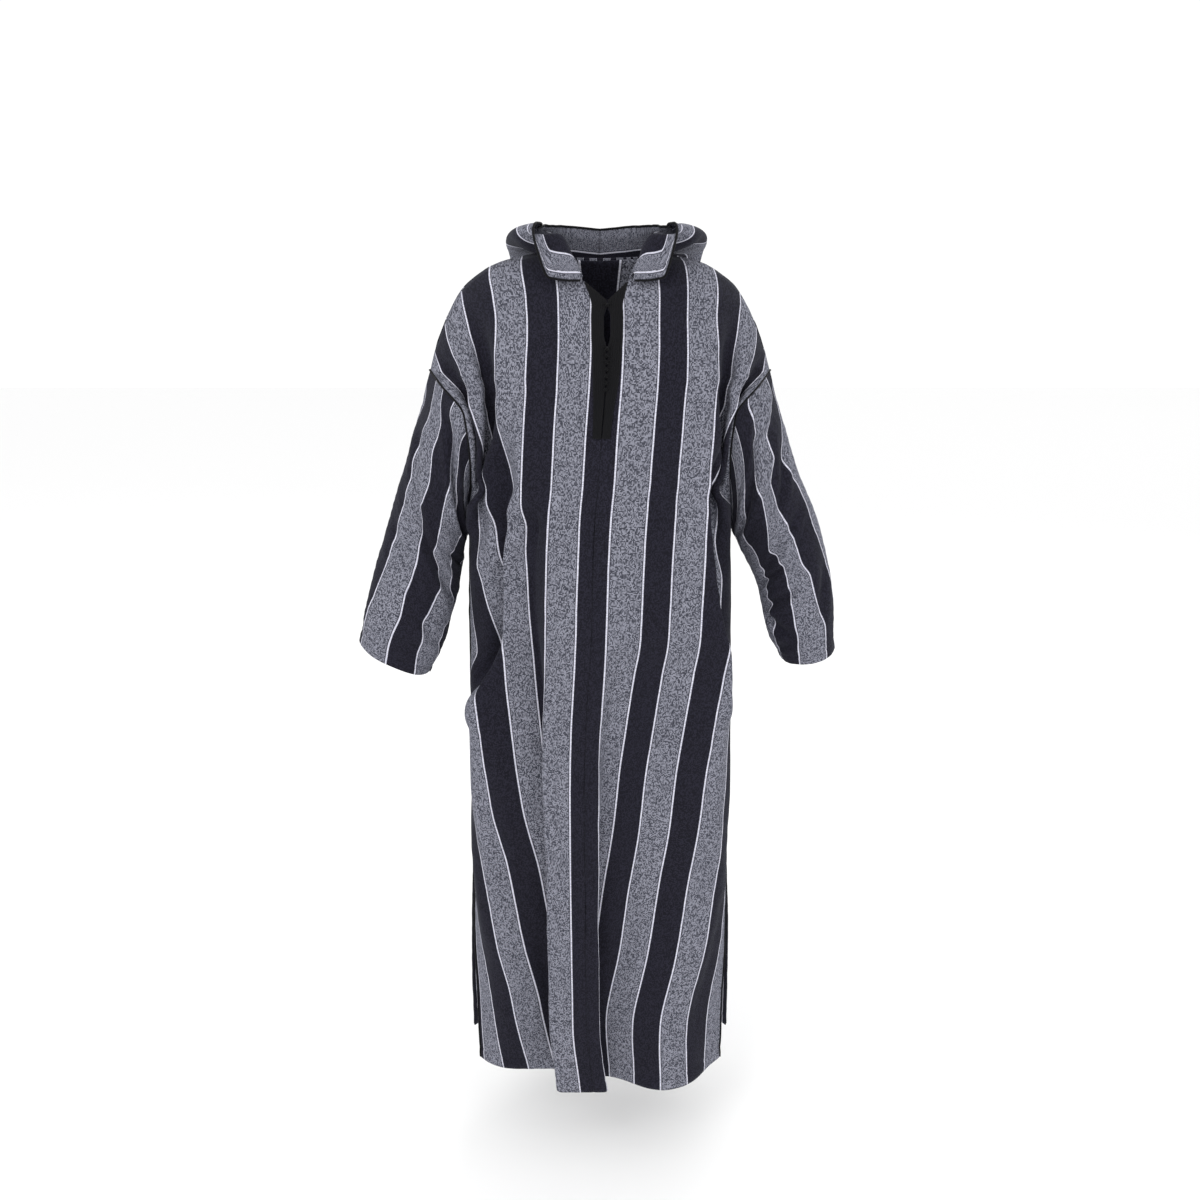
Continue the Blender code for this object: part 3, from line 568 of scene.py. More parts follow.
def crease_depth(crease, u, v):
    """How deep a crease is at cloth places."""
    along = np.array([crease.u1 - crease.u0, crease.v1 - crease.v0])
    length = np.linalg.norm(along)
    along = along / length
    du, dv = u - crease.u0, v - crease.v0
    run = (du * along[0] + dv * along[1]) / length
    part = np.clip(run, 0.0, 1.0)
    near = (dv * along[0] - du * along[1] - crease.bow * 4 * part * (1.0 - part)) / crease.width
    trough = np.exp(-(near**2) * 2.5)
    lips = LIP_SHARE * np.exp(-((np.abs(near) - LIP_AT) ** 2) * 3.5)
    return crease.depth * smooth(run / CREASE_ENDS) * smooth((1.0 - run) / CREASE_ENDS) * (trough - lips)


WAVES, WAVE_SUM = 9, 5.0
WAVE_LENGTHS = (0.6, 1.7)


def bumps(u, v, scale, seed):
    """Slow uneven swells, mostly within 1, from a few sines of unlike lengths and directions."""
    draw = np.random.default_rng(seed)
    total = np.zeros_like(u)
    for _ in range(WAVES):
        angle, phase = draw.uniform(0, 2 * math.pi, 2)
        pitch = scale * draw.uniform(*WAVE_LENGTHS)
        total += np.sin(2 * math.pi * (u * math.cos(angle) + v * math.sin(angle)) / pitch + phase)
    return total / WAVE_SUM


# ---------------------------------------------------------------- materials


def linear(*channels):
    """A colour for a shader socket, from 8-bit display values."""
    shares = [value / 255 for value in channels]
    return tuple(s / 12.92 if s <= 0.04045 else ((s + 0.055) / 1.055) ** 2.4 for s in shares) + (1.0,)


class Nodes:
    """Short calls that add shader nodes and link them."""

    def __init__(self, name, roughness, sheen=0.0, sheen_tint=(1.0, 1.0, 1.0, 1.0)):
        self.material = bpy.data.materials.new(name)
        self.material.use_nodes = True
        self.tree = self.material.node_tree
        self.surface = self.tree.nodes["Principled BSDF"]
        self.surface.inputs["Roughness"].default_value = roughness
        self.surface.inputs["Specular IOR Level"].default_value = 0.15
        self.surface.inputs["Sheen Weight"].default_value = sheen
        self.surface.inputs["Sheen Roughness"].default_value = 0.45
        self.surface.inputs["Sheen Tint"].default_value = sheen_tint

    def set(self, socket, value):
        if isinstance(value, bpy.types.NodeSocket):
            self.tree.links.new(value, socket)
        elif value is not None:
            socket.default_value = value

    def math(self, operation, first, second=None, third=None):
        node = self.tree.nodes.new("ShaderNodeMath")
        node.operation = operation
        for socket, value in zip(node.inputs, (first, second, third)):
            self.set(socket, value)
        return node.outputs[0]

    def mix(self, share, first, second):
        node = self.tree.nodes.new("ShaderNodeMix")
        node.data_type = "RGBA"
        self.set(node.inputs["Factor"], share)
        self.set(node.inputs["A"], first)
        self.set(node.inputs["B"], second)
        return node.outputs["Result"]

    def ease(self, value, low, high):
        """0 below low, 1 above high, smooth between."""
        node = self.tree.nodes.new("ShaderNodeMapRange")
        node.interpolation_type = "SMOOTHSTEP"
        for socket, amount in zip(node.inputs, (value, low, high)):
            self.set(socket, amount)
        return node.outputs[0]

    def cloth_place(self):
        """Cloth coordinates in metres: a vector, and its u and v."""
        place = self.tree.nodes.new("ShaderNodeUVMap")
        place.uv_map = "cloth"
        parts = self.tree.nodes.new("ShaderNodeSeparateXYZ")
        self.tree.links.new(place.outputs[0], parts.inputs[0])
        return place.outputs[0], parts.outputs[0], parts.outputs[1]

    def stretched(self, vector, across, along):
        node = self.tree.nodes.new("ShaderNodeVectorMath")
        node.operation = "MULTIPLY"
        self.set(node.inputs[0], vector)
        node.inputs[1].default_value = (across, along, 1.0)
        return node.outputs[0]

    def noise(self, vector, scale, detail=2.0, roughness=0.5):
        node = self.tree.nodes.new("ShaderNodeTexNoise")
        node.noise_dimensions = "2D"
        self.set(node.inputs["Vector"], vector)
        node.inputs["Scale"].default_value = scale
        node.inputs["Detail"].default_value = detail
        node.inputs["Roughness"].default_value = roughness
        return node.outputs[0]

    def cells(self, vector, across, along):
        """A random shade for each thread crossing: so many cells a metre each way."""
        scaled = self.stretched(vector, across, along)
        floor = self.tree.nodes.new("ShaderNodeVectorMath")
        floor.operation = "FLOOR"
        self.set(floor.inputs[0], scaled)
        node = self.tree.nodes.new("ShaderNodeTexWhiteNoise")
        node.noise_dimensions = "2D"
        self.set(node.inputs["Vector"], floor.outputs[0])
        return node.outputs["Value"]

    def bump(self, height, distance, strength, before=None):
        node = self.tree.nodes.new("ShaderNodeBump")
        node.inputs["Distance"].default_value = distance
        node.inputs["Strength"].default_value = strength
        self.set(node.inputs["Height"], height)
        self.set(node.inputs["Normal"], before)
        return node.outputs[0]


# Wool as it looks from dark to light flecks, and the cloudy shade laid over it in places
Shades = namedtuple("Shades", "low high cloud")
GREY_WOOL = Shades(linear(52, 53, 62), linear(140, 141, 153), linear(92, 94, 105))
BLACK_WOOL = Shades(linear(19, 18, 26), linear(35, 34, 45), linear(36, 36, 48))
SELVEDGE_WOOL = linear(34, 33, 42)
WHITE_LOW, WHITE_HIGH = linear(168, 168, 184), linear(216, 216, 228)
WANDER = 0.0012
THREADS_ACROSS, THREADS_ALONG = 720.0, 560.0
WARP_PITCH, WEFT_PITCH = 0.0011, 0.0013
COARSE_SHARE = 0.28
SELVEDGE_INNER, SELVEDGE_OUTER = 0.0020, 0.0026


def striped_wool():
    """Near-black and heathered grey stripes with a white pinstripe at each boundary."""
    nodes = Nodes("striped_wool", 0.95, sheen=0.05, sheen_tint=(0.8, 0.85, 1.0, 1.0))
    place, u, v = nodes.cloth_place()
    wander = nodes.noise(nodes.stretched(place, 30.0, 12.0), 1.0)
    u = nodes.math("MULTIPLY_ADD", nodes.math("SUBTRACT", wander, 0.5), WANDER, u)
    half = STRIPE / 2
    edge = nodes.math("PINGPONG", nodes.math("ADD", u, half), half)
    turn = nodes.math("FRACT", nodes.math("MULTIPLY_ADD", u, 1 / (2 * STRIPE), 0.25))
    grey = nodes.math("GREATER_THAN", turn, 0.5)

    coarse = nodes.noise(nodes.stretched(place, 700.0, 500.0), 1.0, detail=2.0, roughness=0.7)
    fine = nodes.cells(place, THREADS_ACROSS, THREADS_ALONG)
    cloud = nodes.noise(nodes.stretched(place, 16.0, 10.0), 1.0, detail=3.0)
    coarse = nodes.math("MULTIPLY", coarse, COARSE_SHARE)
    fleck = nodes.math("ADD", coarse, nodes.math("MULTIPLY", fine, 1.0 - COARSE_SHARE))
    heather = nodes.mix(nodes.ease(fleck, 0.26, 0.74), GREY_WOOL.low, GREY_WOOL.high)
    heather = nodes.mix(nodes.math("MULTIPLY", cloud, 0.30), heather, GREY_WOOL.cloud)
    dark = nodes.mix(nodes.ease(fleck, 0.40, 0.66), BLACK_WOOL.low, BLACK_WOOL.high)
    dark = nodes.mix(nodes.math("MULTIPLY", cloud, 0.25), dark, BLACK_WOOL.cloud)
    colour = nodes.mix(grey, dark, heather)

    beside = nodes.math("SUBTRACT", 1.0, nodes.ease(edge, SELVEDGE_INNER, SELVEDGE_OUTER))
    selvedge = nodes.math("MULTIPLY", grey, beside)
    colour = nodes.mix(nodes.math("MULTIPLY", selvedge, 0.85), colour, SELVEDGE_WOOL)
    ply = nodes.noise(nodes.stretched(place, 300.0, 900.0), 1.0)
    thread = nodes.mix(nodes.ease(ply, 0.35, 0.6), WHITE_LOW, WHITE_HIGH)
    line = nodes.math("SUBTRACT", 1.0, nodes.ease(edge, PINSTRIPE * 0.40, PINSTRIPE * 0.56))
    colour = nodes.mix(line, colour, thread)
    nodes.set(nodes.surface.inputs["Base Color"], colour)

    warp = nodes.math("SINE", nodes.math("MULTIPLY", u, 2 * math.pi / WARP_PITCH))
    weft = nodes.math("SINE", nodes.math("MULTIPLY", v, 2 * math.pi / WEFT_PITCH))
    weave = nodes.math("MULTIPLY_ADD", nodes.math("MULTIPLY", warp, weft), 0.25, 0.5)
    surface = nodes.math("ADD", nodes.math("MULTIPLY", weave, 0.5), nodes.math("MULTIPLY", fleck, 0.9))
    surface = nodes.math("MULTIPLY_ADD", line, 0.35, surface)
    nodes.set(nodes.surface.inputs["Normal"], nodes.bump(surface, 0.0005, 0.75))
    return nodes.material


def black_cord(name, pitch, turns):
    """Black cord or braid: fine slanting plies in silk, with a soft gloss, and painted shade that
    darkens the grooves between the plies.
    """
    nodes = Nodes(name, 0.62, sheen=0.02)
    place, u, v = nodes.cloth_place()
    slant = nodes.math("ADD", nodes.math("MULTIPLY", u, turns), v)
    ply = nodes.math("SINE", nodes.math("MULTIPLY", slant, 2 * math.pi / pitch))
    fibre = nodes.noise(nodes.stretched(place, 1400.0, 1400.0), 1.0, detail=2.0)
    shade = nodes.mix(fibre, linear(5, 5, 8), linear(24, 24, 29))
    # Painted shade: where the plies dip, the colour falls to near black in place of the shade in the
    # grooves between them.
    shade = nodes.mix(nodes.ease(ply, -0.9, 0.2), linear(2, 2, 3), shade)
    nodes.set(nodes.surface.inputs["Base Color"], shade)
    relief = nodes.math("MULTIPLY_ADD", fibre, 0.3, ply)
    nodes.set(nodes.surface.inputs["Normal"], nodes.bump(relief, 0.0004, 0.8))
    return nodes.material


def floor_material():
    nodes = Nodes("pale_floor", 0.9)
    grain = nodes.noise(None, 2.0)
    colour = nodes.mix(grain, linear(247, 247, 247), linear(250, 250, 250))
    nodes.set(nodes.surface.inputs["Base Color"], colour)
    return nodes.material


# ---------------------------------------------------------------- meshes


def add_mesh(name, points, faces, uv, material):
    """A mesh object with a UV map of cloth coordinates, one pair for each point."""
    mesh = bpy.data.meshes.new(name)
    mesh.from_pydata([tuple(point) for point in points], [], faces)
    layer = mesh.uv_layers.new(name="cloth")
    corners = np.empty(len(mesh.loops), np.int32)
    mesh.loops.foreach_get("vertex_index", corners)
    layer.data.foreach_set("uv", np.asarray(uv, np.float32)[corners].ravel())
    mesh.shade_smooth()
    mesh.materials.append(material)
    piece = bpy.data.objects.new(name, mesh)
    bpy.context.scene.collection.objects.link(piece)
    return piece


def grid_faces(rows, across, closed):
    last = across if closed else across - 1
    return [
        (
            row * across + column,
            row * across + (column + 1) % across,
            (row + 1) * across + (column + 1) % across,
            (row + 1) * across + column,
        )
        for row in range(rows - 1)
        for column in range(last)
    ]


def add_cloth(name, cloth, material, thickness=WALL):
    """A wall of cloth on a grid."""
    rows, across = cloth.u.shape
    uv = np.stack([cloth.u + cloth.shift, cloth.v], axis=-1).reshape(-1, 2)
    piece = add_mesh(name, cloth.points.reshape(-1, 3), grid_faces(rows, across, False), uv, material)
    wall = piece.modifiers.new("Wall", "SOLIDIFY")
    wall.thickness = thickness
    wall.offset = 0.0
    wall.use_even_offset = False
    return piece


# A direction that no cord starts in
ASKEW = (0.31, 0.17, 0.93)


def tube(points, radius, sides=10):
    """Points, faces and UVs of a round cord: its centreline's points are close together."""
    points = np.asarray(points, float)
    ahead = unit(np.gradient(points, axis=0))
    normal = unit(np.cross(ahead[0], ASKEW))
    ring, uv = [], []
    travelled = lengths_along(points)
    angles = np.linspace(0, 2 * math.pi, sides, endpoint=False)
    for index, place in enumerate(points):
        normal = unit(normal - np.dot(normal, ahead[index]) * ahead[index])
        side = np.cross(ahead[index], normal)
        for angle in angles:
            ring.append(place + radius * (math.cos(angle) * normal + math.sin(angle) * side))
            uv.append((angle * radius, travelled[index]))
    faces = grid_faces(len(points), sides, True)
    last = (len(points) - 1) * sides
    faces.append(tuple(range(sides)))
    faces.append(tuple(last + step for step in reversed(range(sides))))
    return ring, faces, uv


def join(parts):
    """One list of points, faces and UVs from several."""
    points, faces, uv = [], [], []
    for some_points, some_faces, some_uv in parts:
        start = len(points)
        points += list(some_points)
        faces += [tuple(start + corner for corner in face) for face in some_faces]
        uv += list(some_uv)
    return points, faces, uv


def smooth_line(points, count):
    """A line of evenly spaced points through others."""
    points = np.asarray(points, float)
    reach = lengths_along(points)
    return curve(reach, points, np.linspace(0.0, reach[-1], count))


def finish_piece(piece, slot, *nodes):
    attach(piece, "root")
    if nodes:
        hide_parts(*nodes)
    return piece


# ---------------------------------------------------------------- panels


def slit_gap(height):
    """Half the opening between the front edges: the neck slit gapes below its top knot."""
    gape = smooth((height - KEYHOLE_END) / KEYHOLE_FOOT_OVER)
    gape = gape * smooth((KEYHOLE_TOP - height) / KEYHOLE_HEAD_OVER)
    in_slit = smooth((height - NECK_SLIT_END) / SLIT_FOOT_OVER)
    return SLIT_CLOSED + SLIT_CLEAR * in_slit + KEYHOLE_HALF * gape


def panel_cloth(panel, columns, rows, opens):
    """The grid of a half panel: rows run from the neck and ridge down to the hem."""
    edge = np.linspace(ARMHOLE_TOP, HEM, rows + 1)
    share = ((ARMHOLE_TOP - edge) / (ARMHOLE_TOP - HEM))[:, None]
    cloth = half_width(edge)[:, None] * np.linspace(0.0, 1.0, columns + 1)[None]
    top = panel.top(cloth)
    height = top + (HEM - top) * share
    points = panel.place(cloth, height)
    if opens:
        points[..., 0] += panel.side * slit_gap(height) * smooth(1.0 - cloth / SLIT_REACH)
    return Cloth(points, cloth * panel.side, height)


FRONT_CREASES = {
    -1: [
        Crease(-0.060, -0.060, -0.110, -0.200, 0.020, 0.0022, 0.010),
        Crease(-0.020, -0.270, -0.100, -0.360, 0.018, 0.0018, -0.008),
        Crease(-0.090, -0.330, -0.150, -0.480, 0.016, 0.0030, 0.008),
        Crease(-0.040, -0.420, -0.060, -0.640, 0.022, 0.0026, 0.006),
        Crease(-0.230, -0.480, -0.300, -0.700, 0.022, 0.0040, 0.010),
        Crease(-0.200, -0.720, -0.215, -1.000, 0.020, 0.0034, -0.008),
        Crease(-0.270, -0.780, -0.250, -1.120, 0.022, 0.0032, 0.006),
        Crease(-0.180, -1.020, -0.200, -1.310, 0.022, 0.0040, 0.004),
        Crease(-0.025, -0.900, -0.030, -1.250, 0.018, 0.0016, 0.003),
    ],
    1: [
        Crease(0.060, -0.060, 0.110, -0.220, 0.022, 0.0020, -0.010),
        Crease(0.030, -0.290, 0.110, -0.380, 0.018, 0.0018, 0.008),
        Crease(0.090, -0.360, 0.170, -0.520, 0.018, 0.0030, -0.008),
        Crease(0.060, -0.460, 0.080, -0.720, 0.020, 0.0030, -0.006),
        Crease(0.140, -0.560, 0.160, -0.860, 0.022, 0.0036, -0.010),
        Crease(0.250, -0.640, 0.270, -0.930, 0.022, 0.0036, -0.006),
        Crease(0.110, -0.900, 0.120, -1.240, 0.024, 0.0034, 0.006),
        Crease(0.290, -0.960, 0.280, -1.280, 0.022, 0.0034, -0.004),
    ],
}
BACK_CREASES = [
    Crease(-0.060, -0.180, -0.020, -0.420, 0.024, 0.0030, 0.010),
    Crease(0.120, -0.160, 0.050, -0.380, 0.024, 0.0028, 0.010),
    Crease(-0.150, -0.420, -0.120, -0.760, 0.022, 0.0036, -0.010),
    Crease(0.040, -0.500, 0.010, -0.900, 0.024, 0.0032, 0.008),
    Crease(0.170, -0.520, 0.150, -0.860, 0.020, 0.0034, 0.008),
    Crease(-0.030, -0.860, -0.050, -1.240, 0.024, 0.0036, 0.008),
    Crease(-0.280, -0.560, -0.270, -0.980, 0.022, 0.0034, 0.006),
    Crease(0.290, -0.600, 0.280, -1.060, 0.022, 0.0034, -0.006),
    Crease(0.130, -0.980, 0.150, -1.300, 0.020, 0.0034, 0.006),
]


# Slow swells of the cloth: how high, how long, and how long again along the stripes
Swell = namedtuple("Swell", "height length along")
PANEL_SWELLS = [Swell(0.0012, 0.11, 0.6), Swell(0.0004, 0.030, 1.0)]
SLEEVE_SWELLS = [Swell(0.0016, 0.070, 0.7), Swell(0.0005, 0.024, 1.0)]
HOOD_SWELLS = [Swell(0.0016, 0.06, 1.0)]

# A turned hem: a line of stitches so far from the edge, its groove, and the doubled edge below it
HEM_TURNED = 0.020
HEM_GROOVE, HEM_GROOVE_WIDTH = 0.0007, 0.0035
CUFF_GROOVE = 0.0006
HEM_FULL, HEM_FULL_OVER = 0.0005, 0.006

SEAM_DIP, SEAM_DIP_WIDTH, SEAM_DIP_OVER = 0.0011, 0.0030, 0.01


def uneven(cloth, swells, seeds):
    """How far slow swells lift each point of a cloth."""
    return sum(
        swell.height * bumps(cloth.u, cloth.v * swell.along, swell.length, seed)
        for swell, seed in zip(swells, seeds)
    )


def turned_up(above, groove):
    """How far a turned hem stands out, at distances above the edge."""
    stitched = -groove * np.exp(-(((above - HEM_TURNED) / HEM_GROOVE_WIDTH) ** 2))
    return stitched + HEM_FULL * smooth((HEM_TURNED - above) / HEM_FULL_OVER)


def middle_line(cloth):
    """Places up the middle of the robe, level with each of the cloth's points."""
    return cloth.points * np.array([0.0, 0.0, 1.0])


def settle(cloth, creases, seed):
    """Presses creases into a panel, with slow swells."""
    inside = middle_line(cloth)
    cloth.press(creases, inside)
    cloth.raise_by(uneven(cloth, PANEL_SWELLS, (seed, seed + 7)), inside)


def centre_seam(cloth):
    """The seam that joins the two fronts, below the neck slit: both edges dip to it."""
    below = smooth((NECK_SLIT_END - cloth.v) / SEAM_DIP_OVER)
    cloth.points[..., 1] += SEAM_DIP * np.exp(-((cloth.u / SEAM_DIP_WIDTH) ** 2)) * below


class Found:
    """Places on a finished grid, by its cloth coordinates before any shift."""

    def __init__(self, cloth):
        self.cloth = cloth
        self.normal = cloth.normals(middle_line(cloth))

    def at(self, u, v):
        """Point and normal at cloth coordinates; the grid's rows and columns are nearly regular."""
        rows, across = self.cloth.u.shape
        row = 0.0
        for _ in range(3):
            low = int(np.clip(row, 0, rows - 2))
            column = float(np.interp(abs(u), np.abs(self.cloth.u[low]), np.arange(across)))
            left = int(np.clip(column, 0, across - 2))
            over = column - left
            line = self.cloth.v[:, left] * (1 - over) + self.cloth.v[:, left + 1] * over
            row = float(np.interp(-v, -line, np.arange(rows)))
        low = int(np.clip(row, 0, rows - 2))
        down = row - low

        def between(grid):
            upper = (1 - over) * grid[low, left] + over * grid[low, left + 1]
            lower = (1 - over) * grid[low + 1, left] + over * grid[low + 1, left + 1]
            return (1 - down) * upper + down * lower

        return between(self.cloth.points), unit(between(self.normal))


def front_and_back():
    fronts, backs = {}, {}
    for side in (-1, 1):
        fronts[side] = Panel(side, FRONT_LEVELS, FRONT_EDGE, FRONT_FOLDS, FRONT_NECK, FRONT_FIT)
        backs[side] = Panel(side, BACK_LEVELS, BACK_EDGE, BACK_FOLDS, BACK_NECK, BACK_FIT)
    return fronts, backs


def add_fronts(fronts, wool):
    pieces, found = {}, {}
    for side in (-1, 1):
        cloth = panel_cloth(fronts[side], PANEL_COLUMNS, PANEL_ROWS, opens=True)
        settle(cloth, FRONT_CREASES[side], seed=20 + side)
        cloth.raise_by(turned_up(cloth.v - HEM, HEM_GROOVE), middle_line(cloth))
        centre_seam(cloth)
        cloth.shift = side * read(FRONT_WEAVE[side], np.abs(cloth.u))[0] - cloth.u
        name = SIDE_NAMES[side]
        piece = add_cloth(f"front_{name}_cloth", cloth, wool)
        finish_piece(piece, "striped_wool", f"front_{name}")
        pieces[side], found[side] = piece, Found(cloth)
    return pieces, found


def add_back(backs, wool):
    halves = {side: panel_cloth(backs[side], BACK_COLUMNS, BACK_ROWS, opens=False) for side in (-1, 1)}
    right, left = halves[-1], halves[1]
    whole = Cloth(
        np.concatenate([right.points[:, ::-1], left.points[:, 1:]], axis=1),
        np.concatenate([right.u[:, ::-1], left.u[:, 1:]], axis=1),
        np.concatenate([right.v[:, ::-1], left.v[:, 1:]], axis=1),
    )
    settle(whole, BACK_CREASES, seed=41)
    whole.raise_by(turned_up(whole.v - HEM, HEM_GROOVE), middle_line(whole))
    piece = add_cloth("back_cloth", whole, wool)
    finish_piece(piece, "striped_wool", "back")
    found = {}
    for side in (-1, 1):
        columns = slice(BACK_COLUMNS, None) if side > 0 else slice(BACK_COLUMNS, None, -1)
        half = Cloth(whole.points[:, columns], whole.u[:, columns], whole.v[:, columns])
        found[side] = Found(half)
    return piece, found


# ---------------------------------------------------------------- sleeves

SLEEVE_LENGTH = 0.47
SLEEVE_SWELLS_OVER = 0.05

# Where four edges of stripes lie across each sleeve, as distances round it from its outer side, at
# distances down from the shoulder seam. The sleeve twists and bunches, so they wander.
Twist = namedtuple("Twist", "down first second third fourth")
SLEEVE_FIRST_EDGE = {-1: STRIPE / 2, 1: -STRIPE / 2}
SLEEVE_TWIST = {
    -1: [
        Twist(0.000, 0.038, 0.070, 0.100, 0.150),
        Twist(0.020, 0.045, 0.073, 0.097, 0.142),
        Twist(0.045, 0.057, 0.088, 0.125, 0.160),
        Twist(0.068, 0.050, 0.086, 0.145, 0.186),
        Twist(0.107, 0.044, 0.100, 0.143, 0.198),
        Twist(0.139, 0.058, 0.096, 0.142, 0.190),
        Twist(0.152, 0.058, 0.092, 0.141, 0.184),
        Twist(0.172, 0.057, 0.104, 0.139, 0.174),
        Twist(0.203, 0.055, 0.105, 0.134, 0.171),
        Twist(0.237, 0.052, 0.104, 0.151, 0.173),
        Twist(0.264, 0.051, 0.103, 0.152, 0.180),
        Twist(0.303, 0.046, 0.097, 0.145, 0.198),
        Twist(0.328, 0.041, 0.094, 0.139, 0.196),
        Twist(0.356, 0.037, 0.094, 0.131, 0.174),
        Twist(0.389, 0.030, 0.088, 0.134, 0.172),
        Twist(0.420, 0.025, 0.082, 0.130, 0.172),
        Twist(0.470, 0.021, 0.079, 0.127, 0.172),
    ],
    1: [
        Twist(0.000, -0.015, 0.026, 0.092, 0.140),
        Twist(0.012, -0.005, 0.022, 0.097, 0.140),
        Twist(0.026, 0.011, 0.020, 0.096, 0.142),
        Twist(0.042, 0.006, 0.050, 0.092, 0.148),
        Twist(0.059, 0.012, 0.078, 0.116, 0.160),
        Twist(0.086, 0.036, 0.077, 0.130, 0.184),
        Twist(0.107, 0.054, 0.101, 0.126, 0.188),
        Twist(0.134, 0.050, 0.102, 0.127, 0.185),
        Twist(0.164, 0.040, 0.098, 0.130, 0.171),
        Twist(0.200, 0.038, 0.092, 0.134, 0.160),
        Twist(0.240, 0.043, 0.088, 0.122, 0.156),
        Twist(0.281, 0.035, 0.084, 0.112, 0.152),
        Twist(0.315, 0.023, 0.072, 0.109, 0.150),
        Twist(0.345, 0.020, 0.070, 0.107, 0.148),
        Twist(0.372, 0.016, 0.062, 0.105, 0.147),
        Twist(0.405, 0.012, 0.055, 0.102, 0.146),
        Twist(0.470, 0.012, 0.055, 0.100, 0.145),
    ],
}

# Distances round the sleeve from its outer side, the front first, and down it as negative heights
SLEEVE_CREASES = {
    -1: [
        Crease(0.060, -0.015, 0.200, -0.085, 0.016, 0.0060, 0.006),
        Crease(0.110, -0.035, 0.250, -0.130, 0.018, 0.0070, 0.008),
        Crease(0.070, -0.125, 0.215, -0.310, 0.020, 0.0075, -0.010),
        Crease(0.020, -0.060, 0.095, -0.180, 0.020, 0.0035, 0.006),
        Crease(0.150, -0.170, 0.230, -0.215, 0.014, 0.0045, 0.004),
        Crease(0.030, -0.230, 0.130, -0.330, 0.020, 0.0040, 0.008),
        Crease(0.120, -0.340, 0.180, -0.400, 0.016, 0.0040, -0.004),
        Crease(0.040, -0.350, 0.100, -0.440, 0.020, 0.0030, 0.006),
        Crease(-0.020, -0.150, -0.130, -0.300, 0.022, 0.0050, 0.010),
        Crease(-0.060, -0.050, -0.190, -0.160, 0.020, 0.0060, -0.006),
        Crease(-0.030, -0.320, -0.120, -0.430, 0.020, 0.0040, 0.006),
    ],
    1: [
        Crease(0.040, -0.010, 0.130, -0.075, 0.014, 0.0050, 0.006),
        Crease(0.070, -0.050, 0.230, -0.120, 0.018, 0.0070, 0.006),
        Crease(0.030, -0.070, 0.120, -0.165, 0.016, 0.0050, -0.006),
        Crease(0.050, -0.180, 0.170, -0.275, 0.018, 0.0055, 0.008),
        Crease(0.095, -0.260, 0.190, -0.300, 0.013, 0.0060, 0.004),
        Crease(0.080, -0.310, 0.180, -0.335, 0.013, 0.0065, -0.005),
        Crease(0.180, -0.330, 0.090, -0.410, 0.014, 0.0055, 0.004),
        Crease(0.020, -0.300, 0.070, -0.400, 0.018, 0.0035, 0.005),
        Crease(0.090, -0.400, 0.150, -0.445, 0.016, 0.0035, 0.003),
        Crease(-0.020, -0.140, -0.120, -0.280, 0.020, 0.0055, 0.010),
        Crease(-0.060, -0.050, -0.190, -0.150, 0.020, 0.0060, -0.006),
        Crease(-0.090, -0.300, -0.010, -0.380, 0.018, 0.0050, -0.006),
    ],
}


def twisted(side, cloth):
    """How far each place on a sleeve lies from its own measure in the pattern of stripes."""
    first = SLEEVE_FIRST_EDGE[side]
    edges = np.stack(read(SLEEVE_TWIST[side], -cloth.v[:, 0]), axis=-1)
    pattern = first + STRIPE * np.arange(4)
    far = 8 * STRIPE
    knots = np.concatenate([edges[:, :1] - far, edges, edges[:, -1:] + far], axis=1)
    places = np.concatenate([[pattern[0] - far], pattern, [pattern[-1] + far]])
    rows = [np.interp(cloth.u[row], knots[row], places) for row in range(len(knots))]
    return np.array(rows) - cloth.u


def armhole_line(panel, count):
    """Points down a panel's armhole edge, from the ridge to the underarm."""
    heights = np.linspace(ARMHOLE_TOP, UNDERARM, 300)
    line = panel.place(half_width(heights), heights)
    reach = lengths_along(line)
    even = np.interp(np.linspace(0.0, reach[-1], count + 1), reach, heights)
    return panel.place(half_width(even), even)


def ring_points(ring, side, around):
    """Points of one sleeve ring: the outer side first, then front, inner side and back."""
    tilt = math.radians(ring.tilt)
    across = np.array([side * math.cos(tilt), 0.0, math.sin(tilt)]) * ring.half_width
    front = np.array([0.0, -ring.half_depth, 0.0])
    middle = np.array([side * ring.x, ring.y, ring.z])
    angles = np.linspace(0.0, 2 * math.pi, around, endpoint=False)[:, None]
    return middle + across * np.cos(angles) + front * np.sin(angles)


def sleeve_cloth(side, front, back):
    """A sleeve's grid: its columns go from the underarm seam round by the back to the seam again."""
    around, half = SLEEVE_AROUND, SLEEVE_AROUND // 2
    down, up = armhole_line(front, half), armhole_line(back, half)[::-1]
    rings = [np.concatenate([down[:-1], up[:-1]])]
    rings += [ring_points(ring, side, around) for ring in SLEEVE_RINGS[side]]
    stations = [0.0] + [ring.along for ring in SLEEVE_RINGS[side]]
    share = np.linspace(0.0, 1.0, SLEEVE_ROWS + 1)
    points = curve(stations, np.array(rings), share)
    inner = np.sin(math.pi * np.arange(around) / around) ** 2
    fade = np.exp(-share / INNER_CLEAR_OVER)[:, None]
    points[..., 0] += side * INNER_CLEAR * inner * fade
    points = np.roll(points, half, axis=1)
    points = np.concatenate([points, points[:, :1]], axis=1)
    step = np.linalg.norm(np.diff(points, axis=1), axis=2)
    reach = np.concatenate([np.zeros((len(share), 1)), np.cumsum(step, axis=1)], axis=1)
    u = reach - reach[:, half : half + 1]
    v = np.broadcast_to(-SLEEVE_LENGTH * share[:, None], u.shape)
    return Cloth(points, u, v.copy())


def sleeve_axis(cloth):
    """The middle of each ring, for telling in from out."""
    return cloth.points.mean(axis=1, keepdims=True)


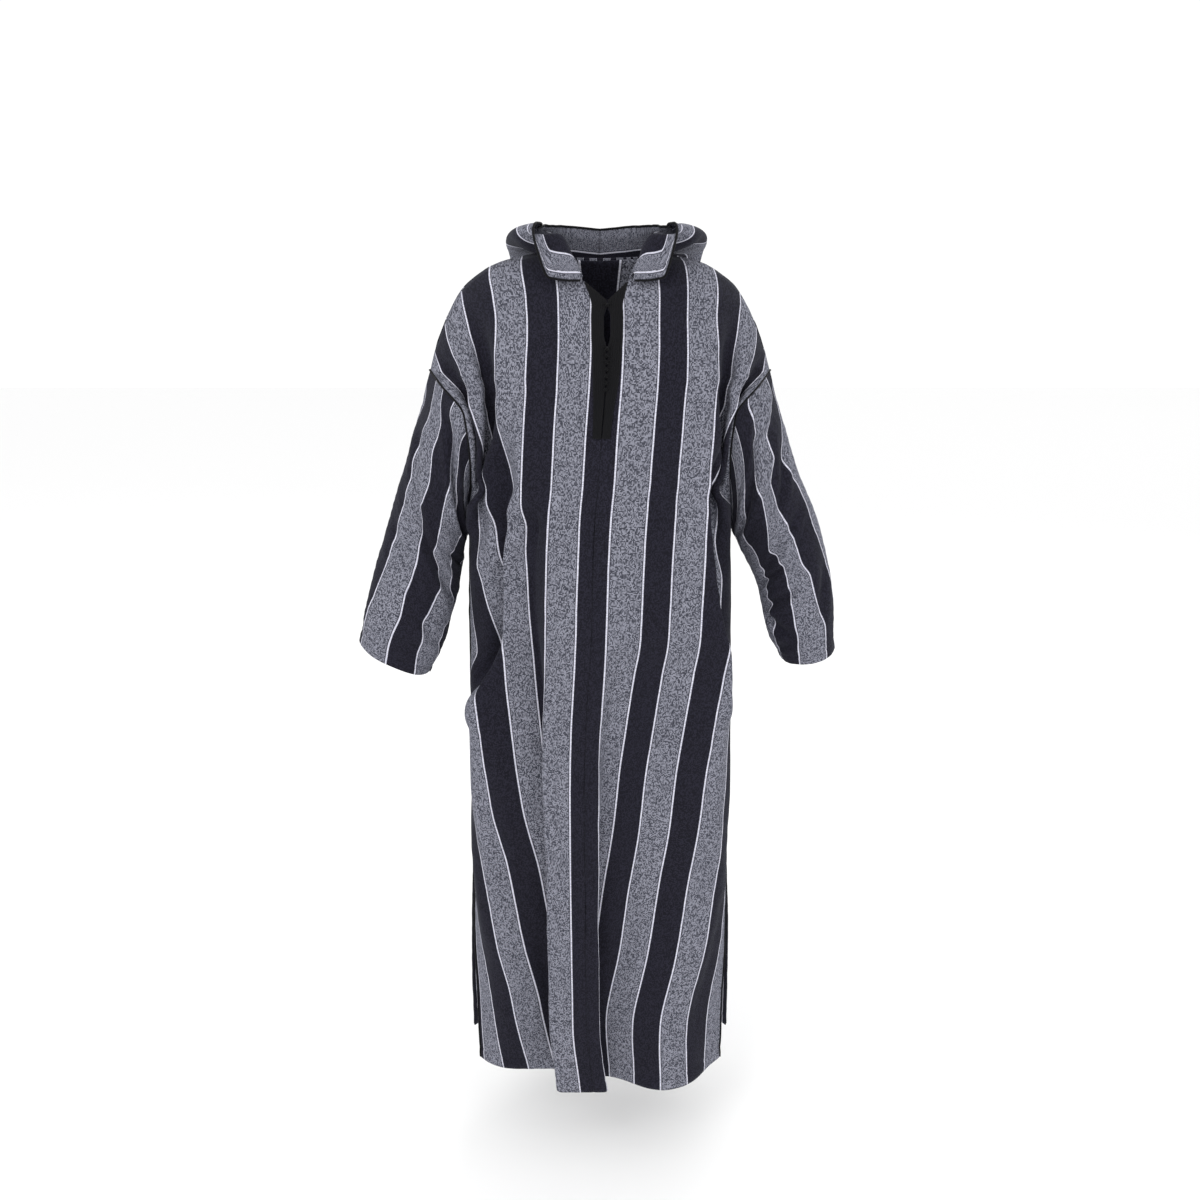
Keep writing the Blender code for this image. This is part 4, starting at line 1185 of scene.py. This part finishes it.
def add_sleeves(fronts, backs, wool):
    pieces, cloths = {}, {}
    for side in (-1, 1):
        cloth = sleeve_cloth(side, fronts[side], backs[side])
        cloth.press(SLEEVE_CREASES[side], sleeve_axis(cloth))
        swelling = uneven(cloth, SLEEVE_SWELLS, (60 + side, 63 + side))
        swelling = swelling * smooth(-cloth.v / SLEEVE_SWELLS_OVER)
        cuff = turned_up(cloth.v + SLEEVE_LENGTH, CUFF_GROOVE)
        cloth.raise_by(swelling + cuff, sleeve_axis(cloth))
        cloth.shift = twisted(side, cloth)
        name = SIDE_NAMES[side]
        piece = add_cloth(f"sleeve_{name}_cloth", cloth, wool)
        finish_piece(piece, "striped_wool", f"sleeve_{name}")
        pieces[side], cloths[side] = piece, cloth
    return pieces, cloths


# ---------------------------------------------------------------- hood


def neck_edge(panel, cloth):
    """Places on a panel's neck edge. The ridge begins at NECK_HALF, so heights stop short of it."""
    cloth = np.minimum(cloth, NECK_HALF)
    return panel.place(cloth, panel.top(np.minimum(cloth, NECK_HALF - 1e-6)))


def neck_seam(share, front, back):
    """Places on the neck edge, from the hood's front end to the middle of the back."""
    on_front = HOOD_FRONT + (NECK_HALF - HOOD_FRONT) * share / HOOD_AT_RIDGE
    on_back = NECK_HALF * (1.0 - share) / (1.0 - HOOD_AT_RIDGE)
    ahead = (share < HOOD_AT_RIDGE)[:, None]
    place = np.where(ahead, neck_edge(front, on_front), neck_edge(back, on_back))
    place[:, 0] = front.side * np.abs(place[:, 0])
    lift = HOOD_LIFT * smooth((share - HOOD_AT_RIDGE) / HOOD_LIFT_OVER)
    return place + np.stack([np.zeros_like(lift), lift, np.full_like(lift, HOOD_LIFT)], axis=-1)


def hood_cloth(side, front, back):
    """A half hood: rows from the front end to the middle of the back, columns from seam to rim.

    Its stripes run beside the face edge, so they are laid out by the distance from it.
    """
    share = np.linspace(HOOD_START, 1.0, HOOD_ROWS + 1)
    free = read(HOOD_LOOPS, share).T.reshape(-1, 3, 3)
    free[:, :, 0] = np.where(free[:, :, 0] > HOOD_MIDDLE, free[:, :, 0], 0.0)
    reach = 1.0 + (HOOD_REACH[side] - 1.0) * np.sin(math.pi * share)
    free[:, :, 0] *= side * reach[:, None]
    free[:, :, 0] += centre_line(NECK_TOP) * smooth(1.0 - share / HOOD_SWING_OVER)[:, None]
    corners = np.concatenate([neck_seam(share, front, back)[:, None], free], axis=1)
    step = np.linspace(0.0, 1.0, HOOD_ACROSS + 1)
    rest = 1.0 - step
    weights = np.stack([rest**3, 3 * rest**2 * step, 3 * rest * step**2, step**3])
    points = np.einsum("kc,rkd->rcd", weights, corners)
    run = np.linalg.norm(np.diff(points, axis=1), axis=2)
    from_seam = np.concatenate([np.zeros((len(share), 1)), np.cumsum(run, axis=1)], axis=1)
    from_rim = from_seam[:, -1:] - from_seam
    trimmed = HOOD_TRIMMED * smooth((from_rim - HOOD_HEM) / HOOD_HEM_LINE)
    u = STRIPE / 2 - HOOD_HEM_DIP + trimmed + np.abs(from_rim - HOOD_HEM)
    v = from_seam + HOOD_SLANT * share[:, None]
    return Cloth(points, u, v)


def add_hood(fronts, backs, wool):
    pieces, cloths = {}, {}
    for side in (-1, 1):
        cloth = hood_cloth(side, fronts[side], backs[side])
        rows, across = cloth.u.shape
        from_seam = smooth(np.linspace(0, 1, across) / HOOD_FREE_OVER)
        from_middle = smooth(np.linspace(1, 0, rows) / HOOD_MIDDLE_OVER)
        free = from_seam[None] * from_middle[:, None]
        inside = np.array(HOOD_INSIDE) * (side, 1, 1)
        cloth.raise_by(uneven(cloth, HOOD_SWELLS, (80 + side,)) * free, inside)
        name = SIDE_NAMES[side]
        piece = add_cloth(f"hood_{name}_cloth", cloth, wool)
        finish_piece(piece, "striped_wool", f"hood_{name}")
        pieces[side], cloths[side] = piece, cloth
    return pieces, cloths


# ---------------------------------------------------------------- trims


# How far a cord's middle stands off the cloth, as a share of its radius
PIPING_PROUD, ARMHOLE_PROUD = 0.7, 0.6


def add_cord(name, points, material, slot, *nodes, radius=PIPING_RADIUS):
    made, faces, uv = tube(points, radius)
    return finish_piece(add_mesh(name, made, faces, uv, material), slot, *nodes)


def edge_cord(found, side, top, bottom, count):
    """Piping that lies on a panel beside its side edge."""
    places = []
    for height in np.linspace(top, bottom, count):
        point, normal = found.at(side * (half_width(height) - PIPING_INSET), height)
        places.append(point + normal * (WALL / 2 + PIPING_RADIUS * PIPING_PROUD))
    return smooth_line(places, count * 3)


def armhole_cord(cloth):
    ring = cloth.points[0]
    normal = cloth.normals(sleeve_axis(cloth))[0]
    places = ring + normal * (WALL / 2 + PIPING_RADIUS * ARMHOLE_PROUD)
    return smooth_line(np.concatenate([places, places[:1]]), 400)


def rim_cord(cloth):
    rim, inside = cloth.points[:, -1], cloth.points[:, -3]
    return smooth_line(rim + unit(rim - inside) * (HOOD_PIPING_RADIUS * PIPING_PROUD), 260)


def add_piping(front_found, back_found, sleeves, hoods, material):
    for side in (-1, 1):
        name = SIDE_NAMES[side]
        slot = "black_piping"
        cord = edge_cord(front_found[side], side, UNDERARM - 0.010, HEM + 0.002, 110)
        add_cord(f"side_cord_front_{name}", cord, material, slot, f"side_piping_front_{name}")
        cord = edge_cord(back_found[side], side, SLIT_TOP + 0.004, HEM + 0.002, 60)
        add_cord(f"side_cord_back_{name}", cord, material, slot, f"side_piping_back_{name}")
        cord = armhole_cord(sleeves[side])
        add_cord(f"armhole_cord_{name}", cord, material, slot, f"armhole_piping_{name}")
        cord = rim_cord(hoods[side])
        rim = f"hood_piping_{name}"
        add_cord(f"hood_cord_{name}", cord, material, slot, rim, radius=HOOD_PIPING_RADIUS)


BRAID_ROWS, BRAID_ACROSS, BRAID_CORDS = 200, 48, 6
BRAID_RELIEF, BRAID_ROUNDNESS = 0.0009, 0.6

# How wide the braid is on each side of the neck slit, as a share of the way down
Band = namedtuple("Band", "down width")
BRAID = [
    Band(0.00, 0.0300),
    Band(0.05, 0.0250),
    Band(0.11, 0.0212),
    Band(0.30, 0.0205),
    Band(0.60, 0.0175),
    Band(0.80, 0.0135),
    Band(1.00, 0.0115),
]


def braid_cloth(panel, found):
    """Flat braid beside the neck slit: six cords side by side, on the panel's own surface."""
    share = np.linspace(0.0, 1.0, BRAID_ROWS + 1)
    across = np.linspace(0.0, 1.0, BRAID_ACROSS + 1)
    points = np.empty((BRAID_ROWS + 1, BRAID_ACROSS + 1, 3))
    u, v = np.empty(points.shape[:2]), np.empty(points.shape[:2])
    widths = read(BRAID, share)[0]
    for row, down in enumerate(share):
        for column, over in enumerate(across):
            cloth = BRAID_INSET + (widths[row] - BRAID_INSET) * over
            top = float(panel.top(cloth)) - BRAID_THICK / 2
            height = top + (NECK_SLIT_END - top) * down
            point, normal = found.at(panel.side * cloth, height)
            ridge = abs(math.sin(math.pi * BRAID_CORDS * over)) ** BRAID_ROUNDNESS
            proud = WALL / 2 + BRAID_THICK / 2 + BRAID_RELIEF * ridge
            points[row, column] = point + normal * proud
            u[row, column], v[row, column] = cloth, height
    return Cloth(points, u, v)


def add_braids(fronts, found, material):
    pieces = {}
    for side in (-1, 1):
        name = SIDE_NAMES[side]
        piece = add_cloth(f"braid_{name}", braid_cloth(fronts[side], found[side]), material, BRAID_THICK)
        pieces[side] = finish_piece(piece, "black_braid", f"neck_braid_{name}")
    return pieces


KNOT_RINGS, KNOT_AROUND = 18, 28
KNOT_CORE, KNOT_PLY = 0.90, 0.22
KNOT_CROSSINGS, KNOT_TWIST = 2.5, 2.2
KNOT_POLE = 0.03

LOOP_RADIUS, LOOP_REACH, LOOP_BACK = 0.0006, 0.0085, 0.0008
LOOP_BEND_WIDE, LOOP_BEND_HIGH, LOOP_BEND_BACK = 0.0022, 0.0024, 0.0010
LOOP_END_BACK, LOOP_END_HIGH = 0.0016, 0.0016


def knot(centre, radius):
    """A ball button knotted from cord: a sphere with crossing plies."""
    points, uv = [], []
    for ring in range(KNOT_RINGS + 1):
        polar = math.pi * (KNOT_POLE + (1 - 2 * KNOT_POLE) * ring / KNOT_RINGS)
        for step in range(KNOT_AROUND):
            angle = 2 * math.pi * step / KNOT_AROUND
            way, slant = KNOT_CROSSINGS * angle, KNOT_TWIST * polar
            ply = abs(math.sin(way + slant)) * abs(math.sin(way - slant))
            size = radius * (KNOT_CORE + KNOT_PLY * ply)
            points.append(centre + size * np.array([
                math.sin(polar) * math.cos(angle), math.cos(polar), math.sin(polar) * math.sin(angle)
            ]))
            uv.append((angle * radius, polar * radius))
    faces = grid_faces(KNOT_RINGS + 1, KNOT_AROUND, True)
    faces.append(tuple(range(KNOT_AROUND)))
    faces.append(tuple(KNOT_RINGS * KNOT_AROUND + step for step in reversed(range(KNOT_AROUND))))
    return points, faces, uv


def button_loop(centre, side):
    """Half of a cord loop: out from the braid, round the knot and back."""
    turns = np.linspace(-0.5 * math.pi, 0.5 * math.pi, 15)
    bend = [
        centre + np.array([
            -side * LOOP_BEND_WIDE * math.cos(turn), LOOP_BEND_BACK, LOOP_BEND_HIGH * math.sin(turn)
        ])
        for turn in turns
    ]
    ends = [
        centre + np.array([side * LOOP_REACH, LOOP_END_BACK, LOOP_END_HIGH * way]) for way in (-1, 1)
    ]
    return tube(smooth_line([ends[0], *bend, ends[1]], 60), LOOP_RADIUS, 6)


def add_buttons(found, material):
    heights = [TOP_KNOT] + [FIRST_BUTTON - BUTTON_PITCH * index for index in range(BUTTONS_IN_ROW)]
    for index, height in enumerate(heights):
        point = found[1].at(0.0, height)[0]
        proud = WALL / 2 + BRAID_THICK + BUTTON_RADIUS
        centre = np.array([centre_line(height), point[1] - proud, height])
        behind = centre + np.array([0.0, LOOP_BACK, 0.0])
        parts = [knot(centre, BUTTON_RADIUS)] + [button_loop(behind, side) for side in (-1, 1)]
        points, faces, uv = join(parts)
        piece = add_mesh(f"knot_{index + 1}", points, faces, uv, material)
        finish_piece(piece, "black_braid", f"button_{index + 1}")


# ---------------------------------------------------------------- stage


def add_stage():
    bpy.ops.mesh.primitive_plane_add(size=14, location=(0, 2.0, FLOOR))
    floor = bpy.context.object
    floor.name = "floor"
    floor.data.materials.append(floor_material())

    def area(name, place, aim, size, power):
        light = bpy.data.lights.new(name, "AREA")
        light.shape = "SQUARE"
        light.size = size
        light.energy = power
        lamp = bpy.data.objects.new(name, light)
        lamp.location = place
        towards = mathutils.Vector(aim) - mathutils.Vector(place)
        lamp.rotation_euler = towards.to_track_quat("-Z", "Y").to_euler()
        bpy.context.scene.collection.objects.link(lamp)

    middle = (0.0, 0.0, -0.55)
    area("key", (-1.5, -2.6, 1.6), middle, 1.8, 38)
    area("fill", (2.4, -2.0, 0.4), middle, 2.2, 14)
    area("rim", (0.6, 2.6, 1.4), middle, 1.8, 20)

    world = bpy.data.worlds.new("studio")
    bpy.context.scene.world = world
    world.use_nodes = True
    world.node_tree.nodes["Background"].inputs["Color"].default_value = (1.0, 1.0, 1.0, 1.0)
    world.node_tree.nodes["Background"].inputs["Strength"].default_value = 1.04
    bpy.context.scene.view_settings.view_transform = "Standard"


LENS, LENS_SHIFT = 39.45, 0.0433
CAMERA_PLACE, CAMERA_DOWN = (0.0, -1.98, 0.10), 19.5


def add_camera():
    """The camera stands before the chest, tilted down, with its frame shifted up a little."""
    lens = bpy.data.cameras.new("camera")
    lens.sensor_width = 36.0
    lens.lens = LENS
    lens.shift_y = LENS_SHIFT
    camera = bpy.data.objects.new("camera", lens)
    camera.location = CAMERA_PLACE
    camera.rotation_euler = (math.radians(90.0 - CAMERA_DOWN), 0.0, 0.0)
    bpy.context.scene.collection.objects.link(camera)
    bpy.context.scene.camera = camera


def main():
    add_camera()
    wool = striped_wool()
    braid = black_cord("black_braid", 0.0016, 1.0)
    piping = black_cord("black_piping", 0.0020, 0.8)
    fronts, backs = front_and_back()
    front_pieces, front_found = add_fronts(fronts, wool)
    back_piece, back_found = add_back(backs, wool)
    sleeve_pieces, sleeve_cloths = add_sleeves(fronts, backs, wool)
    hood_pieces, hood_cloths = add_hood(fronts, backs, wool)
    add_piping(front_found, back_found, sleeve_cloths, hood_cloths, piping)
    braids = add_braids(fronts, front_found, braid)
    add_buttons(front_found, braid)
    add_stage()


main()
